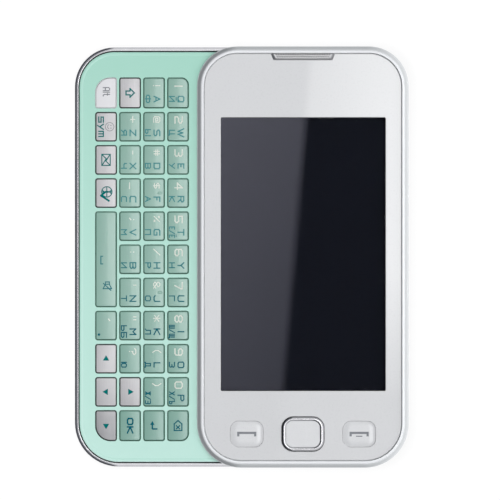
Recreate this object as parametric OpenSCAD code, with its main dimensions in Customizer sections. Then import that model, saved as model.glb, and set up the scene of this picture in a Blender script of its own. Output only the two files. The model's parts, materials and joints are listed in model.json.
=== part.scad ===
// Touchscreen phone whose screen half slides sideways off a base with a letter keyboard.
// The phone lies on its back: +Z points out of the screen, +Y to the earpiece, +X to the open side.
// The origin is the middle of the base's back face. The screen half is drawn slid open.

/* [Halves] */
// Length of each half, along Y
body_length = 109.5; // [98:0.5:116]
// Width of each half, along X
body_width = 55; // [50:0.5:58]
// Plan radius of the two corners at the earpiece end
corner_top = 10.4; // [9:0.1:12]
// Plan radius of the two corners at the front key end
corner_bottom = 11.5; // [9:0.1:12]
// Gap between the two halves
slide_gap = 0.35; // [0.3:0.05:0.6]
// Travel of the screen half over the base, along X
slide_travel = 32; // [28:0.5:33]

/* [Back shells] */
// Wall of the battery cover
cover_t = 0.9; // [0.8:0.05:1.1]
// Clearance between the battery cover and the rear housing
cover_fit = 0.15; // [0.1:0.05:0.25]
// Height to which the battery cover wraps the sides
cover_wrap = 3; // [2.8:0.1:3.2]
// Radius of the lower edge all round the back
back_edge = 2.6; // [2:0.1:2.8]
// Length of the fixed camera panel at the earpiece end of the back
camera_panel = 30; // [26:0.5:34]
// Wall of the rear housing
housing_t = 1.1; // [0.9:0.05:1.3]
// Distance that the housing's side stands in from the chrome band
side_inset = 0.4; // [0.3:0.05:0.5]
// Width of a tongue that locks the battery cover under the camera panel
tongue_w = 8; // [5:0.5:10]
// Length of a tongue
tongue_length = 2.6; // [1.5:0.1:4]
// Thickness of a tongue
tongue_t = 0.45; // [0.35:0.05:0.55]
// Distance of each tongue from the middle
tongue_x = 14; // [11:0.5:18]
// Number of thumb grooves in the battery cover
grip_grooves = 4; // [3:1:6]
// Length of a thumb groove
grip_length = 15; // [10:0.5:20]
// Width of a thumb groove
grip_w = 0.9; // [0.6:0.1:1.2]
// Depth of a thumb groove
grip_depth = 0.25; // [0.1:0.05:0.35]
// Distance of the first thumb groove from the camera panel
grip_from_panel = 12; // [8:0.5:16]

/* [Chrome band] */
// Width of the band seen from the front
band_w = 1.3; // [1.1:0.05:1.6]
// Height of the band
band_h = 2.5; // [2.2:0.1:2.7]
// Radius of the band's outer shoulder
band_shoulder = 1; // [0.7:0.05:1.1]
// Width of the inner shelf that carries the keyboard deck
shelf_w = 1.1; // [0.9:0.1:1.5]

/* [Battery and board] */
// Distance of the battery from the side of the base
battery_from_side = 6; // [5.5:0.1:8]
// Distance of the battery from the base's lower end
battery_from_end = 18.45; // [16:0.05:24]
// Thickness of the battery
battery_t = 4.7; // [4.3:0.1:6]
// Gap above and below the battery
battery_gap = 0.15; // [0.1:0.05:0.3]
// Gap between the battery and the walls of its bay
bay_gap = 0.25; // [0.2:0.05:0.5]
// Thickness of the bay walls
bay_wall = 0.8; // [0.6:0.1:1]
// Thickness of the main board
board_t = 0.8; // [0.6:0.1:1]
// Radius of a contact dome
dome_r = 1.9; // [1.5:0.1:2.2]
// Radius of a contact dome's flat top
dome_top_r = 0.95; // [0.6:0.05:1.2]
// Height of a contact dome
dome_h = 0.3; // [0.2:0.05:0.4]
// Clearance between a pressed key and its contact dome
dome_gap = 0.1; // [0.05:0.05:0.2]
// Distance between the battery bay and the camera panel
bay_from_panel = 7; // [5:0.5:9]
// Width of the loudspeaker
speaker_w = 13; // [11:0.5:14]
// Length of the loudspeaker
speaker_length = 10; // [9:0.5:11]
// Corner radius of the loudspeaker
speaker_corner = 2; // [1:0.1:3]
// Width of the shielding can
can_w = 24; // [18:0.5:26]
// Length of the shielding can
can_length = 8; // [6:0.5:9]
// Height of the shielding can
can_h = 1.6; // [1.2:0.1:2]
// Width of the card holder
card_w = 15; // [14:0.5:17]
// Length of the card holder
card_length = 9; // [7:0.5:11]
// Height of the card holder
card_h = 1.2; // [1:0.1:1.6]
// Radius of the vibration motor
motor_r = 1.9; // [1.5:0.1:2]
// Length of the vibration motor
motor_length = 8; // [6:0.5:10]
// Space between the parts under the board
part_gap = 1; // [0.6:0.1:1.4]

/* [Keyboard] */
// Distance of the keyboard from the base's left edge
keyboard_from_side = 5.55; // [5:0.05:6.5]
// Distance of the keyboard from the open screen half
keyboard_from_screen = 2.37; // [1.8:0.01:3]
// Distance of the keyboard from the base's earpiece end
keyboard_from_top = 8.1; // [7.4:0.05:9]
// Distance of the keyboard from the base's lower end
keyboard_from_bottom = 6.9; // [6.4:0.05:8]
// Space between two keys, across the phone
line_space = 0.96; // [0.9:0.02:1.2]
// Space between two keys, along the phone
key_space = 1.3; // [1.2:0.05:1.6]
// Extra length of the first and the last key of each line
end_key_extra = 0.35; // [0:0.05:0.5]
// Corner radius of a key cap
key_corner = 0.5; // [0.3:0.05:0.8]
// Radius of the keyboard's two outer corners at the left
keyboard_corner_left = 3.8; // [2.5:0.1:4.5]
// Radius of the keyboard's two outer corners next to the screen half
keyboard_corner_right = 1.8; // [1:0.1:2.4]
// Clearance between a key cap and its opening
key_gap = 0.2; // [0.15:0.05:0.25]
// Overhang of a key's foot past its cap
key_foot = 0.32; // [0.3:0.02:0.36]
// Thickness of a key's foot
key_foot_t = 0.35; // [0.25:0.05:0.45]
// Play between a key's foot and the panel above it
key_play = 0.05; // [0.03:0.01:0.1]
// Travel of a key
key_travel = 0.3; // [0.2:0.05:0.4]
// Height of a key's crown above the panel
key_proud = 0.1; // [0:0.02:0.15]
// Drop of the crown from a key's middle to its sides
key_crown = 0.18; // [0.1:0.02:0.3]
// Length of the nib that marks the F and the J key, across the phone
nib_length = 1.3; // [1:0.1:1.6]
// Width of a nib
nib_w = 0.8; // [0.5:0.1:1]
// Height of a nib above the key's crown
nib_proud = 0.05; // [0.02:0.01:0.08]
// Distance of a nib's middle from the key's right edge
nib_from_edge = 1.1; // [0.9:0.05:1.5]
// Thickness of the keyboard deck
deck_t = 0.9; // [0.8:0.05:1.2]
// Radius of the deck's outer edge
deck_edge = 0.45; // [0.3:0.05:0.6]
// Width of the raised lip round the deck
deck_lip_w = 0.85; // [0.7:0.05:1]
// Height of the lip above the deck
deck_lip_h = 0.1; // [0.05:0.01:0.15]
// Width of the slope from the lip down to the deck
deck_lip_slope = 0.25; // [0.15:0.05:0.4]
// Groove between the deck and the chrome band
deck_groove = 0.12; // [0.08:0.02:0.2]

/* [Slide] */
// Thickness of the steel rail let into the deck
rail_t = 0.5; // [0.4:0.05:0.6]
// Distance between the rail and the deck's right edge
rail_margin = 1.6; // [1.2:0.1:2.4]
// Corner radius of the rail
rail_corner = 2; // [1:0.1:3]
// Width of the rail's two long sides
rail_side = 3; // [2:0.1:4]
// Length of the rail's two ends, which carry the runners
rail_end = 10; // [8:0.5:12]
// Distance of each runner from the end of the half
runner_from_end = 12.75; // [11.75:0.05:16]
// Distance of the slots' middle from the middle of the screen half, towards the keyboard
slot_shift = 0.52; // [0:0.02:1]
// Distance of a slot's end from the edge of the slide plate
slot_end = 3.03; // [2.5:0.01:4.5]
// Width of a runner's neck, in its slot
runner_neck = 2.4; // [2:0.1:3]
// Width of a runner's head, above the slide plate
runner_head = 5; // [4:0.1:6]
// Thickness of a runner's head
runner_head_t = 0.7; // [0.5:0.05:1]
// Running clearance of the slide
runner_gap = 0.15; // [0.1:0.05:0.25]
// Thickness of the slide plate
plate_t = 0.7; // [0.6:0.05:1]
// Distance of the slide plate's edge from the outside of the screen half
plate_inset = 1.3; // [1.1:0.1:1.5]

/* [Screen half] */
// Width of the rim round the front window
rim_w = 1.75; // [1.5:0.05:2.2]
// Width of the rim's rounded shoulder
rim_shoulder_w = 1.3; // [0.9:0.05:1.35]
// Height of the rim's rounded shoulder
rim_shoulder_h = 2.2; // [1.5:0.1:2.6]
// Height of the rim above the front window
rim_proud = 0.1; // [0:0.05:0.2]
// Width of the ledge that carries the front window
ledge_w = 1.15; // [0.9:0.05:1.4]
// Thickness of the window ledge and of the pocket walls beside it
ledge_t = 0.9; // [0.7:0.1:1.1]
// Thickness of the tray under the display
tray_t = 0.45; // [0.4:0.05:0.7]
// Thickness of the front window
window_t = 1.4; // [1.2:0.1:1.6]
// Chamfer of the front window's edge
window_chamfer = 0.2; // [0.1:0.05:0.3]
// Groove between the rim and the front window
window_groove = 0.1; // [0.08:0.02:0.15]
// Distance of the display module from the side of the half
display_from_side = 4.5; // [4:0.1:6]
// Distance of the display module from the earpiece end
display_from_top = 15.95; // [15:0.05:20]
// Distance of the display module from the lower end
display_from_bottom = 17.55; // [17.2:0.05:22]
// Thickness of the display module
display_t = 2; // [1.8:0.1:2.6]
// Air gap between the display and the window
display_gap = 0.3; // [0.2:0.05:0.5]
// Width of the display's frame beside the picture
picture_side = 2; // [1.5:0.1:3]
// Width of the display's frame above and below the picture
picture_end = 3; // [2:0.1:4]
// Depth of the step between the display's frame and its glass
picture_step = 0.3; // [0.2:0.05:0.4]

/* [Earpiece] */
// Width of the earpiece notch at the rim
notch_top = 16.6; // [14:0.2:19]
// Width of the earpiece notch at its inner side
notch_bottom = 15.2; // [13:0.2:17]
// Depth of the earpiece notch, along the phone
notch_depth = 1.7; // [1.5:0.1:2.2]
// Distance of the mesh below the front window's face
mesh_sunk = 0.35; // [0.2:0.05:0.5]
// Thickness of the mesh
mesh_t = 0.3; // [0.2:0.05:0.4]
// Pitch of the holes in the mesh
mesh_pitch = 0.63; // [0.55:0.01:0.75]
// Width of a hole in the mesh
mesh_hole = 0.44; // [0.3:0.01:0.46]

/* [Front keys] */
// Distance of the front keys from the lower end of the screen half
front_keys_from_end = 8.75; // [8.3:0.05:9.3]
// Distance of the call and end keys from the side of the half
side_key_from_side = 12.9; // [12:0.1:14]
// Width of the call and end keys
side_key_w = 8.2; // [7:0.1:9]
// Length of the call and end keys, along the phone
side_key_length = 6.4; // [5.5:0.1:7]
// Corner radius of the call and end keys
side_key_corner = 2; // [1.2:0.1:2.6]
// Width of the home key
home_w = 10.8; // [9.5:0.1:11.4]
// Length of the home key, along the phone
home_length = 8.8; // [7.5:0.1:9]
// Corner radius of the home key
home_corner = 2.9; // [2:0.1:3.4]
// Width of the raised ring round the home key's pad
home_ring = 0.9; // [0.6:0.05:1.2]
// Width of the groove between the ring and the pad
home_groove = 0.15; // [0.1:0.05:0.25]

/* [Volume rocker] */
// Distance of the rocker's middle below the earpiece end
rocker_from_top = 30.6; // [28:0.2:36]
// Length of the rocker
rocker_length = 18.9; // [14:0.1:22]
// Height of the rocker
rocker_h = 1.8; // [1.4:0.1:2]
// Height of the rocker's face above the chrome band's side
rocker_proud = 0.1; // [0.05:0.05:0.2]
// Clearance between the rocker and its slot
rocker_gap = 0.15; // [0.12:0.01:0.25]
// Radius of the rocker's pivot
pivot_r = 0.4; // [0.3:0.05:0.45]
// Turn of the rocker to each side, in degrees
rocker_turn = 2; // [1:0.1:2]

/* [Sockets and camera] */
// Radius of the headset socket's bore, for a 3.5 mm plug
jack_bore = 1.8; // [1.76:0.01:1.85]
// Depth of the headset socket's bore
jack_depth = 13; // [11:0.5:14]
// Wall of the headset socket
jack_wall = 0.4; // [0.35:0.05:0.5]
// Distance of the headset socket from the middle
jack_x = 14; // [12:0.5:15]
// Distance of the charging socket from the middle
usb_x = 12; // [11:0.5:14]
// Width of the charging socket's shell
usb_w = 7.6; // [7.4:0.1:8]
// Height of the charging socket's shell
usb_h = 2.7; // [2.6:0.1:2.9]
// Thickness of the charging socket's shell
usb_wall = 0.3; // [0.25:0.05:0.4]
// Depth of the charging socket
usb_depth = 5.4; // [4.5:0.1:6]
// Clearance round the sockets in the housing's wall
socket_fit = 0.12; // [0.1:0.02:0.2]
// Radius of the camera's barrel
camera_r = 3.5; // [3:0.1:4]
// Width of the barrel's rim round the camera's glass
camera_rim = 0.7; // [0.5:0.05:1]
// Width of the camera's body
camera_w = 8.2; // [7.5:0.1:9]
// Distance of the camera's middle below the earpiece end
camera_from_top = 13.2; // [12:0.2:16]
// Distance of the camera's glass below the back face
camera_sunk = 0.3; // [0.2:0.05:0.5]
// Depth of the shallow recess round the camera and the speaker
recess_depth = 0.25; // [0.1:0.05:0.3]
// Width of that recess, along the phone
recess_w = 11; // [10:0.5:12]
// Distance of the speaker slots from the camera
speaker_from_camera = 14; // [12:0.5:15]
// Number of speaker slots beside the camera
speaker_slots = 4; // [3:1:5]
// Length of a speaker slot
speaker_slot_length = 8; // [6:0.5:9]
// Width of a speaker slot
speaker_slot_w = 0.8; // [0.6:0.1:1]

/* [Hidden] */
$fn = 48;

// Distance that swept wall profiles reach in from the outline, so that floors can join them
sweep_reach = 6;
// Overlap of two shapes that are joined
lap = 0.5;
// Overshoot of a cut past the face that it goes through
overshoot = 1;
// Steps in a rounded edge of a swept profile
edge_steps = 6;

// Half the outline's width and length: the edges of a half, from its middle
edge_x = body_width / 2;
edge_y = body_length / 2;

// Heights in the base, from the back up
battery_z = cover_t + battery_gap;
board_z = battery_z + battery_t + battery_gap;
board_top = board_z + board_t;
key_room = dome_h + dome_gap + key_travel + key_foot_t + key_play;
deck_z = board_top + key_room;
base_top = deck_z + deck_t;
band_z = base_top - band_h;
shelf_z = board_top + dome_gap;

// Heights in the screen half, from the slide plate up
screen_z = base_top + slide_gap;
plate_top = screen_z + plate_t;
head_z = plate_top + runner_gap;
tray_z = head_z + runner_head_t + runner_gap;
tray_top = tray_z + tray_t;
window_z = tray_top + display_t + display_gap;
window_top = window_z + window_t;
screen_top = window_top + rim_proud;
ledge_z = window_z - ledge_t;
key_shelf_top = window_z - key_room;
mesh_z = window_top - mesh_sunk - mesh_t;

// Heights in the rear housing
skin_z = cover_t + cover_fit;
floor_z = skin_z + housing_t;
wrap_z = cover_wrap + cover_fit;
wall_middle = (wrap_z + band_z) / 2;

// Distances in from the outline of a half
skin_u = side_inset + cover_t + cover_fit;
core_u = skin_u + housing_t;
lip_u = side_inset + housing_t;
shelf_u = band_w + shelf_w;
deck_u = band_w + deck_groove;
board_u = lip_u + cover_fit;
plate_seat_u = plate_inset - window_groove;
pocket_u = plate_inset + lap;
ledge_u = rim_w + ledge_w;
window_u = rim_w + window_groove;

// Places along the phone
split_y = edge_y - camera_panel;
bay_top = split_y - bay_from_panel;
battery_top = bay_top - bay_wall - bay_gap;
battery_bottom = battery_from_end - edge_y;
battery_y = (battery_top + battery_bottom) / 2;
bay_bottom = battery_bottom - bay_gap - bay_wall;
battery_w = body_width - 2 * battery_from_side;
battery_length = battery_top - battery_bottom;
bay = grown([battery_w, battery_length], bay_gap);
camera_y = edge_y - camera_from_top;
rocker_y = edge_y - rocker_from_top;
front_key_y = front_keys_from_end - edge_y;
front_key_pitch = edge_x - side_key_from_side;
grip_y = split_y - grip_from_panel;

// Display: what its distances from the half's edges leave
display_w = body_width - 2 * display_from_side;
display_length = body_length - display_from_top - display_from_bottom;
display_shift = (display_from_bottom - display_from_top) / 2;
picture_w = display_w - 2 * picture_side;
picture_length = display_length - 2 * picture_end;

// Sockets: both end a little inside the housing's wall
socket_tip = edge_y - side_inset - lap;
socket_shoulder = edge_y - core_u - socket_fit;
jack_r = jack_bore + jack_wall;
jack_hole = jack_r + socket_fit;
jack_z = band_z - jack_hole - socket_fit;
jack_end = socket_tip - jack_depth - 2 * jack_wall;
usb_z = board_z - usb_h - lap / 2;

// Rocker: its foot stays clear of the wall and of the switch as its ends swing in and out
rocker_swing = rocker_length / 2 * sin(rocker_turn);
rocker_foot_u = lip_u + rocker_swing + rocker_gap;
rocker_pivot_u = rocker_foot_u + 2 * pivot_r;
rocker_switch_u = rocker_pivot_u + pivot_r + rocker_gap / 2;
rocker_room = rocker_length / 2 + key_foot + 2 * rocker_gap;

// Parts that hang under the main board
speaker_x = -speaker_from_camera;

// Slide: the runners stand on the rail, which lies under the screen half when it is open
slot_x = -slot_shift;
slot_w = runner_neck + 2 * runner_gap;
slot_length = 2 * (edge_x - plate_inset - slot_end - slot_shift);
rail_x = slide_travel / 2 + slot_x;
rail_w = 2 * (edge_x - deck_u - rail_margin - rail_x);
runner_y = edge_y - runner_from_end;
runner_length = slot_length - slide_travel - 2 * runner_gap;
rail_length = 2 * (runner_y + runner_head);

// Keyboard plan: one row of names for each row of keys, from the earpiece end down.
// Each row starts at the base's left edge, and an empty name belongs to the long key above it.
key_plan = [
    ["alt", "shift", "a", "q"],
    ["sym", "z", "s", "w"],
    ["message", "x", "d", "e"],
    ["web", "c", "f", "r"],
    ["space", "v", "g", "t"],
    ["", "b", "h", "y"],
    ["", "n", "j", "u"],
    ["comma", "m", "k", "i"],
    ["left", "question", "l", "o"],
    ["down", "up", "bracket", "p"],
    ["right", "ok", "enter", "backspace"]
];
silver_keys = ["alt", "sym", "message", "web", "left", "down", "right", "shift", "up"];
nib_keys = ["f", "j"];
key_lines = len(key_plan[0]);
key_rows = len(key_plan);
space_rows = 3;

// The four lines share what the screen half uncovers, and the rows share the base's length
keys_across = slide_travel - keyboard_from_side - keyboard_from_screen;
keys_along = body_length - keyboard_from_top - keyboard_from_bottom - 2 * end_key_extra;
line_pitch = (keys_across + line_space) / key_lines;
key_pitch = (keys_along + key_space) / key_rows;
key_w = line_pitch - line_space;
key_length = key_pitch - key_space;
first_line = keyboard_from_side + key_w / 2;
row_shift = (keyboard_from_top - keyboard_from_bottom) / 2;

// Each key is its name, its line, its row and the rows that it takes
keys = [
    for (row = [0 : key_rows - 1], line = [0 : key_lines - 1])
        if (key_plan[row][line] != "")
            [key_plan[row][line], line, row, key_plan[row][line] == "space" ? space_rows : 1]
];

body_nodes = [
    "rear_housing", "battery_cover", "mid_frame", "keyboard_deck", "main_board", "battery",
    "headset_jack", "camera_module", "slide_rail", "slide_plate", "screen_frame", "front_window",
    "display_module", "earpiece_mesh", "call_key", "home_key", "end_key", "volume_key"
];

// Points along an arc
function arc(centre, r, from, to) = [
    for (i = [0 : edge_steps])
        let (angle = from + (to - from) * i / edge_steps)
            centre + r * [cos(angle), sin(angle)]
];

// The same radius at all four corners
function even(r) = [r, r, r, r];

// A size made larger on every side
function grown(size, by) = size + 2 * [by, by];

function key_node(key) = str("key_", key[0]);
function at_top(key) = key[2] == 0;
function at_bottom(key) = key[2] + key[3] == key_rows;
function at_left(key) = key[1] == 0;
function at_right(key) = key[1] == key_lines - 1;
function among(key, names) = len([for (name = names) if (name == key[0]) name]) > 0;

function key_size(key) = [
    key_w,
    key_length + (key[3] - 1) * key_pitch + (at_top(key) || at_bottom(key) ? end_key_extra : 0)
];

function key_place(key) = [
    first_line - edge_x + key[1] * line_pitch,
    ((key_rows - key[3]) / 2 - key[2]) * key_pitch - row_shift
        + (at_top(key) ? end_key_extra / 2 : 0) - (at_bottom(key) ? end_key_extra / 2 : 0)
];

function key_radii(key, grow) = [
    (at_top(key) && at_right(key) ? keyboard_corner_right : key_corner) + grow,
    (at_top(key) && at_left(key) ? keyboard_corner_left : key_corner) + grow,
    (at_bottom(key) && at_left(key) ? keyboard_corner_left : key_corner) + grow,
    (at_bottom(key) && at_right(key) ? keyboard_corner_right : key_corner) + grow
];

// What a round corner takes off a square one
module corner_waste(r) {
    difference() {
        square(r + lap);
        circle(r);
    }
}

// Rounded rectangle, with radii from the upper right corner anticlockwise
module round_rect(size, radii) {
    flips = [[0, 0], [1, 0], [1, 1], [0, 1]];
    difference() {
        square(size, center = true);
        for (i = [0 : 3]) mirror([flips[i][0], 0]) mirror([0, flips[i][1]])
            translate(size / 2 - [radii[i], radii[i]]) corner_waste(radii[i]);
    }
}

// Rounded prism
module round_prism(size, radii, h) {
    linear_extrude(h) round_rect(size, radii);
}

// Outline of one half, drawn a distance in from its edge
module half_outline(inset) {
    top = corner_top - inset;
    bottom = corner_bottom - inset;
    round_rect(grown([body_width, body_length], -inset), [top, top, bottom, bottom]);
}

// Flat plate with the outline of a half
module half_plate(inset, z, t) {
    translate([0, 0, z]) linear_extrude(t) half_outline(inset);
}

// Sweeps a profile, drawn as distance in from the outline and height, round one half
module around_half() {
    for (side = [0, 1]) mirror([side, 0, 0]) {
        translate([edge_x - corner_top, edge_y - corner_top, 0])
            rotate_extrude(angle = 90) translate([corner_top, 0]) mirror([1, 0]) children();
        translate([edge_x - corner_bottom, corner_bottom - edge_y, 0]) rotate(270)
            rotate_extrude(angle = 90) translate([corner_bottom, 0]) mirror([1, 0]) children();
        translate([edge_x, edge_y - corner_top, 0]) rotate([90, 0, 0])
            linear_extrude(body_length - corner_top - corner_bottom) mirror([1, 0]) children();
    }
    translate([corner_top - edge_x, edge_y, 0]) rotate([90, 0, 90])
        linear_extrude(body_width - 2 * corner_top) mirror([1, 0]) children();
    translate([corner_bottom - edge_x, -edge_y, 0]) rotate([90, 0, 90])
        linear_extrude(body_width - 2 * corner_bottom) children();
}

// Block given by its lowest and highest corner
module block(low, high) {
    translate(low) cube(high - low);
}

// Bar with round ends, along X
module round_bar(length, w, h) {
    for (side = [-1, 1]) translate([side * (length - w) / 2, 0, 0]) cylinder(d = w, h = h);
    translate([(w - length) / 2, -w / 2, 0]) cube([length - w, w, h]);
}

// Rod along +Y
module rod_y(r, length) {
    rotate([-90, 0, 0]) cylinder(r = r, h = length);
}

// Places something in the screen half, which stands open
module in_screen() {
    translate([slide_travel, 0, 0]) children();
}

// Outer skin of the back with a wall of t: the battery cover's and the camera panel's profile
module back_skin(t, height) {
    inner_edge = max(back_edge - t, window_chamfer);
    around_half() polygon(concat(
        [[side_inset, height]],
        arc([side_inset + back_edge, back_edge], back_edge, 180, 270),
        [[sweep_reach, 0], [sweep_reach, t]],
        arc([side_inset + t + inner_edge, t + inner_edge], inner_edge, 270, 180),
        [[side_inset + t, height]]
    ));
    half_plate(sweep_reach - lap, 0, t);
}

// Slice of the base between two places along the phone
module base_slice(from_y, to_y) {
    block([-body_width, from_y, -overshoot], [body_width, to_y, base_top]);
}

// Tongues that hold the battery cover under the camera panel, grown for their slots
module cover_tongues(grow) {
    root = 4 * lap;
    for (side = [-1, 1]) translate([side * tongue_x, split_y, cover_t - tongue_t]) block(
        [-tongue_w / 2 - grow, -root, -grow],
        [tongue_w / 2 + grow, tongue_length + 2 * grow, tongue_t + grow]
    );
}

module thumb_grooves() {
    for (i = [0 : grip_grooves - 1]) translate([0, grip_y - i * 2 * grip_w, grip_depth - overshoot])
        round_bar(grip_length, grip_w, overshoot);
}

module battery_cover() {
    color("white") {
        difference() {
            intersection() {
                back_skin(cover_t, cover_wrap);
                base_slice(-body_length, split_y - cover_fit);
            }
            thumb_grooves();
        }
        cover_tongues(0);
    }
}

// Tub of the rear housing. Below the wrap height it stands inside the battery cover,
// and at the camera panel it fills out to the phone's own skin.
module housing_tub() {
    skin_edge = max(back_edge - cover_t - cover_fit, window_chamfer);
    around_half() polygon(concat(
        [[side_inset, band_z], [side_inset, wrap_z], [skin_u, wrap_z]],
        arc([skin_u + skin_edge, skin_z + skin_edge], skin_edge, 180, 270),
        [
            [sweep_reach, skin_z], [sweep_reach, floor_z], [core_u, floor_z],
            [core_u, board_z], [lip_u, board_z], [lip_u, band_z]
        ]
    ));
    half_plate(sweep_reach - lap, skin_z, housing_t);
    intersection() {
        back_skin(skin_z + housing_t / 2, wrap_z + lap);
        base_slice(split_y, body_length);
    }
}

module battery_bay_walls() {
    translate([0, battery_y, skin_z]) linear_extrude(board_z - battery_gap - skin_z) difference() {
        square(grown(bay, bay_wall), center = true);
        square(bay, center = true);
    }
}

module camera_panel_cuts() {
    recess_length = speaker_from_camera + speaker_slot_length + recess_w / 2;
    translate([speaker_x / 2, camera_y, recess_depth - overshoot])
        round_bar(recess_length, recess_w, overshoot);
    translate([0, camera_y, -overshoot]) cylinder(r = camera_r + cover_fit, h = base_top);
    for (i = [0 : speaker_slots - 1])
        translate([speaker_x, camera_y + (2 * i + 1 - speaker_slots) * speaker_slot_w, -overshoot])
            round_bar(speaker_slot_length, speaker_slot_w, base_top);
}

module socket_cuts() {
    translate([jack_x, socket_shoulder, jack_z]) rod_y(jack_hole, core_u + overshoot);
    block(
        [jack_x - jack_hole, jack_end - socket_fit, jack_z - jack_hole],
        [jack_x + jack_hole, socket_shoulder + socket_fit, board_z]
    );
    translate([-usb_x, 0, usb_z]) block(
        [-usb_w / 2 - socket_fit, socket_shoulder, -socket_fit],
        [usb_w / 2 + socket_fit, edge_y, usb_h + socket_fit]
    );
}

module rocker_cuts() {
    half_h = rocker_h / 2 + rocker_gap;
    translate([-edge_x, rocker_y, wall_middle]) {
        block(
            [0, -rocker_length / 2 - rocker_gap, -half_h],
            [core_u, rocker_length / 2 + rocker_gap, half_h]
        );
        block([lip_u, -rocker_room, -half_h], [core_u + overshoot, rocker_room, board_z - wall_middle]);
    }
}

module rear_housing() {
    color("whitesmoke") {
        difference() {
            housing_tub();
            translate([0, battery_y, 0]) linear_extrude(board_z) square(bay, center = true);
            cover_tongues(cover_fit / 2);
            camera_panel_cuts();
            socket_cuts();
            rocker_cuts();
        }
        battery_bay_walls();
    }
}

module mid_frame() {
    color("silver") around_half() polygon(concat(
        [[side_inset, band_z], [0, band_z + side_inset]],
        arc([band_shoulder, base_top - band_shoulder], band_shoulder, 180, 90),
        [
            [band_w, base_top - deck_groove], [band_w, deck_z], [shelf_u, deck_z], [shelf_u, shelf_z],
            [band_w, shelf_z], [band_w, band_z]
        ]
    ));
}

module keyboard_deck() {
    color([0.7, 0.88, 0.83]) difference() {
        union() {
            around_half() polygon(concat(
                [
                    [sweep_reach, base_top], [deck_u + deck_lip_w + deck_lip_slope, base_top],
                    [deck_u + deck_lip_w, base_top + deck_lip_h]
                ],
                arc([deck_u + deck_edge, base_top + deck_lip_h - deck_edge], deck_edge, 90, 180),
                [[deck_u, deck_z], [sweep_reach, deck_z]]
            ));
            half_plate(sweep_reach - lap, deck_z, deck_t);
        }
        for (key = keys) translate(concat(key_place(key), deck_z - overshoot))
            round_prism(grown(key_size(key), key_gap), key_radii(key, key_gap), deck_t + 2 * overshoot);
        translate([rail_x, 0, base_top - rail_t])
            round_prism(grown([rail_w, rail_length], runner_gap), even(rail_corner), rail_t + overshoot);
    }
}

// Key cap with a crowned top and a foot that keeps it under its panel.
// The panel's lower face is at height zero.
module key_body(size, radii, foot_radii, panel_t) {
    top = panel_t + key_proud;
    foot = -key_play - key_foot_t;
    crown_r = (pow(size[0] / 2, 2) + pow(key_crown, 2)) / (2 * key_crown);
    intersection() {
        translate([0, 0, foot]) round_prism(size, radii, top - foot);
        translate([0, -size[1], top - crown_r]) rod_y(crown_r, 2 * size[1], $fn = 180);
    }
    translate([0, 0, foot]) round_prism(grown(size, key_foot), foot_radii, key_foot_t);
}

module letter_key(key) {
    nib_x = key_w / 2 - nib_from_edge;
    color(among(key, silver_keys) ? "lightgray" : [0.56, 0.72, 0.66])
        translate(concat(key_place(key), deck_z)) {
            key_body(key_size(key), key_radii(key, 0), key_radii(key, key_foot), deck_t);
            if (among(key, nib_keys)) translate([nib_x, 0, deck_t - lap])
                round_bar(nib_length, nib_w, lap + key_proud + nib_proud);
        }
}

// Contact dome that a key presses
module contact_dome() {
    cylinder(r1 = dome_r, r2 = dome_top_r, h = dome_h);
}

// Charging socket: an open shell under the board, with a foot up to it
module usb_socket() {
    back = socket_tip - usb_depth;
    half_w = usb_w / 2;
    translate([-usb_x, 0, usb_z]) {
        difference() {
            block([-half_w, back, 0], [half_w, socket_tip, usb_h]);
            block(
                [usb_wall - half_w, back + usb_wall, usb_wall],
                [half_w - usb_wall, socket_tip + overshoot, usb_h - usb_wall]
            );
        }
        block(
            [usb_wall - half_w, back, usb_h - usb_wall],
            [half_w - usb_wall, socket_shoulder, board_z - usb_z]
        );
    }
}

module rocker_switch() {
    translate([-edge_x + rocker_switch_u, rocker_y, 0]) block(
        [0, -rocker_length / 2, wall_middle - rocker_h / 2],
        [part_gap, rocker_length / 2, board_z]
    );
}

// Loudspeaker, shielding can, card holder and vibration motor under the board
module board_parts() {
    speaker_z = floor_z + cover_fit;
    can_y = camera_y - camera_w / 2 - part_gap - can_length / 2;
    holder_y = bay_bottom - part_gap - card_length / 2;
    translate([speaker_x, camera_y, speaker_z])
        round_prism([speaker_w, speaker_length], even(speaker_corner), board_z - speaker_z);
    translate([part_gap, can_y, board_z - can_h]) round_prism([can_w, can_length], even(part_gap), can_h);
    translate([-card_w / 2, holder_y, board_z - card_h])
        round_prism([card_w, card_length], even(part_gap), card_h);
    translate([motor_length, holder_y, board_z - motor_r + lap / 2]) rotate([0, 90, 0])
        cylinder(r = motor_r, h = motor_length);
}

module main_board() {
    color("darkgreen") {
        difference() {
            half_plate(board_u, board_z, board_t);
            block(
                [jack_x - jack_hole, jack_end - socket_fit, board_z - overshoot],
                [jack_x + jack_hole, edge_y, board_top + overshoot]
            );
        }
        for (key = keys) translate(concat(key_place(key), board_top)) contact_dome();
        usb_socket();
        rocker_switch();
        board_parts();
    }
}

module battery() {
    color("dimgray") translate([0, battery_y, battery_z])
        round_prism([battery_w, battery_length], even(bay_wall), battery_t);
}

module headset_jack() {
    color("black") translate([jack_x, 0, jack_z]) difference() {
        union() {
            block([-jack_r, jack_end, -jack_r], [jack_r, socket_shoulder, jack_r]);
            translate([0, socket_shoulder - lap, 0]) rod_y(jack_r, socket_tip - socket_shoulder + lap);
        }
        translate([0, socket_tip - jack_depth, 0]) rod_y(jack_bore, jack_depth + overshoot);
    }
}

module camera_module() {
    body_z = floor_z + cover_fit;
    glass_r = camera_r - camera_rim;
    color("black") translate([0, camera_y, 0]) difference() {
        union() {
            translate([0, 0, camera_sunk]) cylinder(r = camera_r, h = body_z - camera_sunk + lap);
            translate([0, 0, body_z])
                round_prism([camera_w, camera_w], even(lap), board_z - key_play - body_z);
        }
        translate([0, 0, camera_sunk - lap]) cylinder(r1 = glass_r + lap, r2 = glass_r / 2, h = 3 * lap);
    }
}

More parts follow.
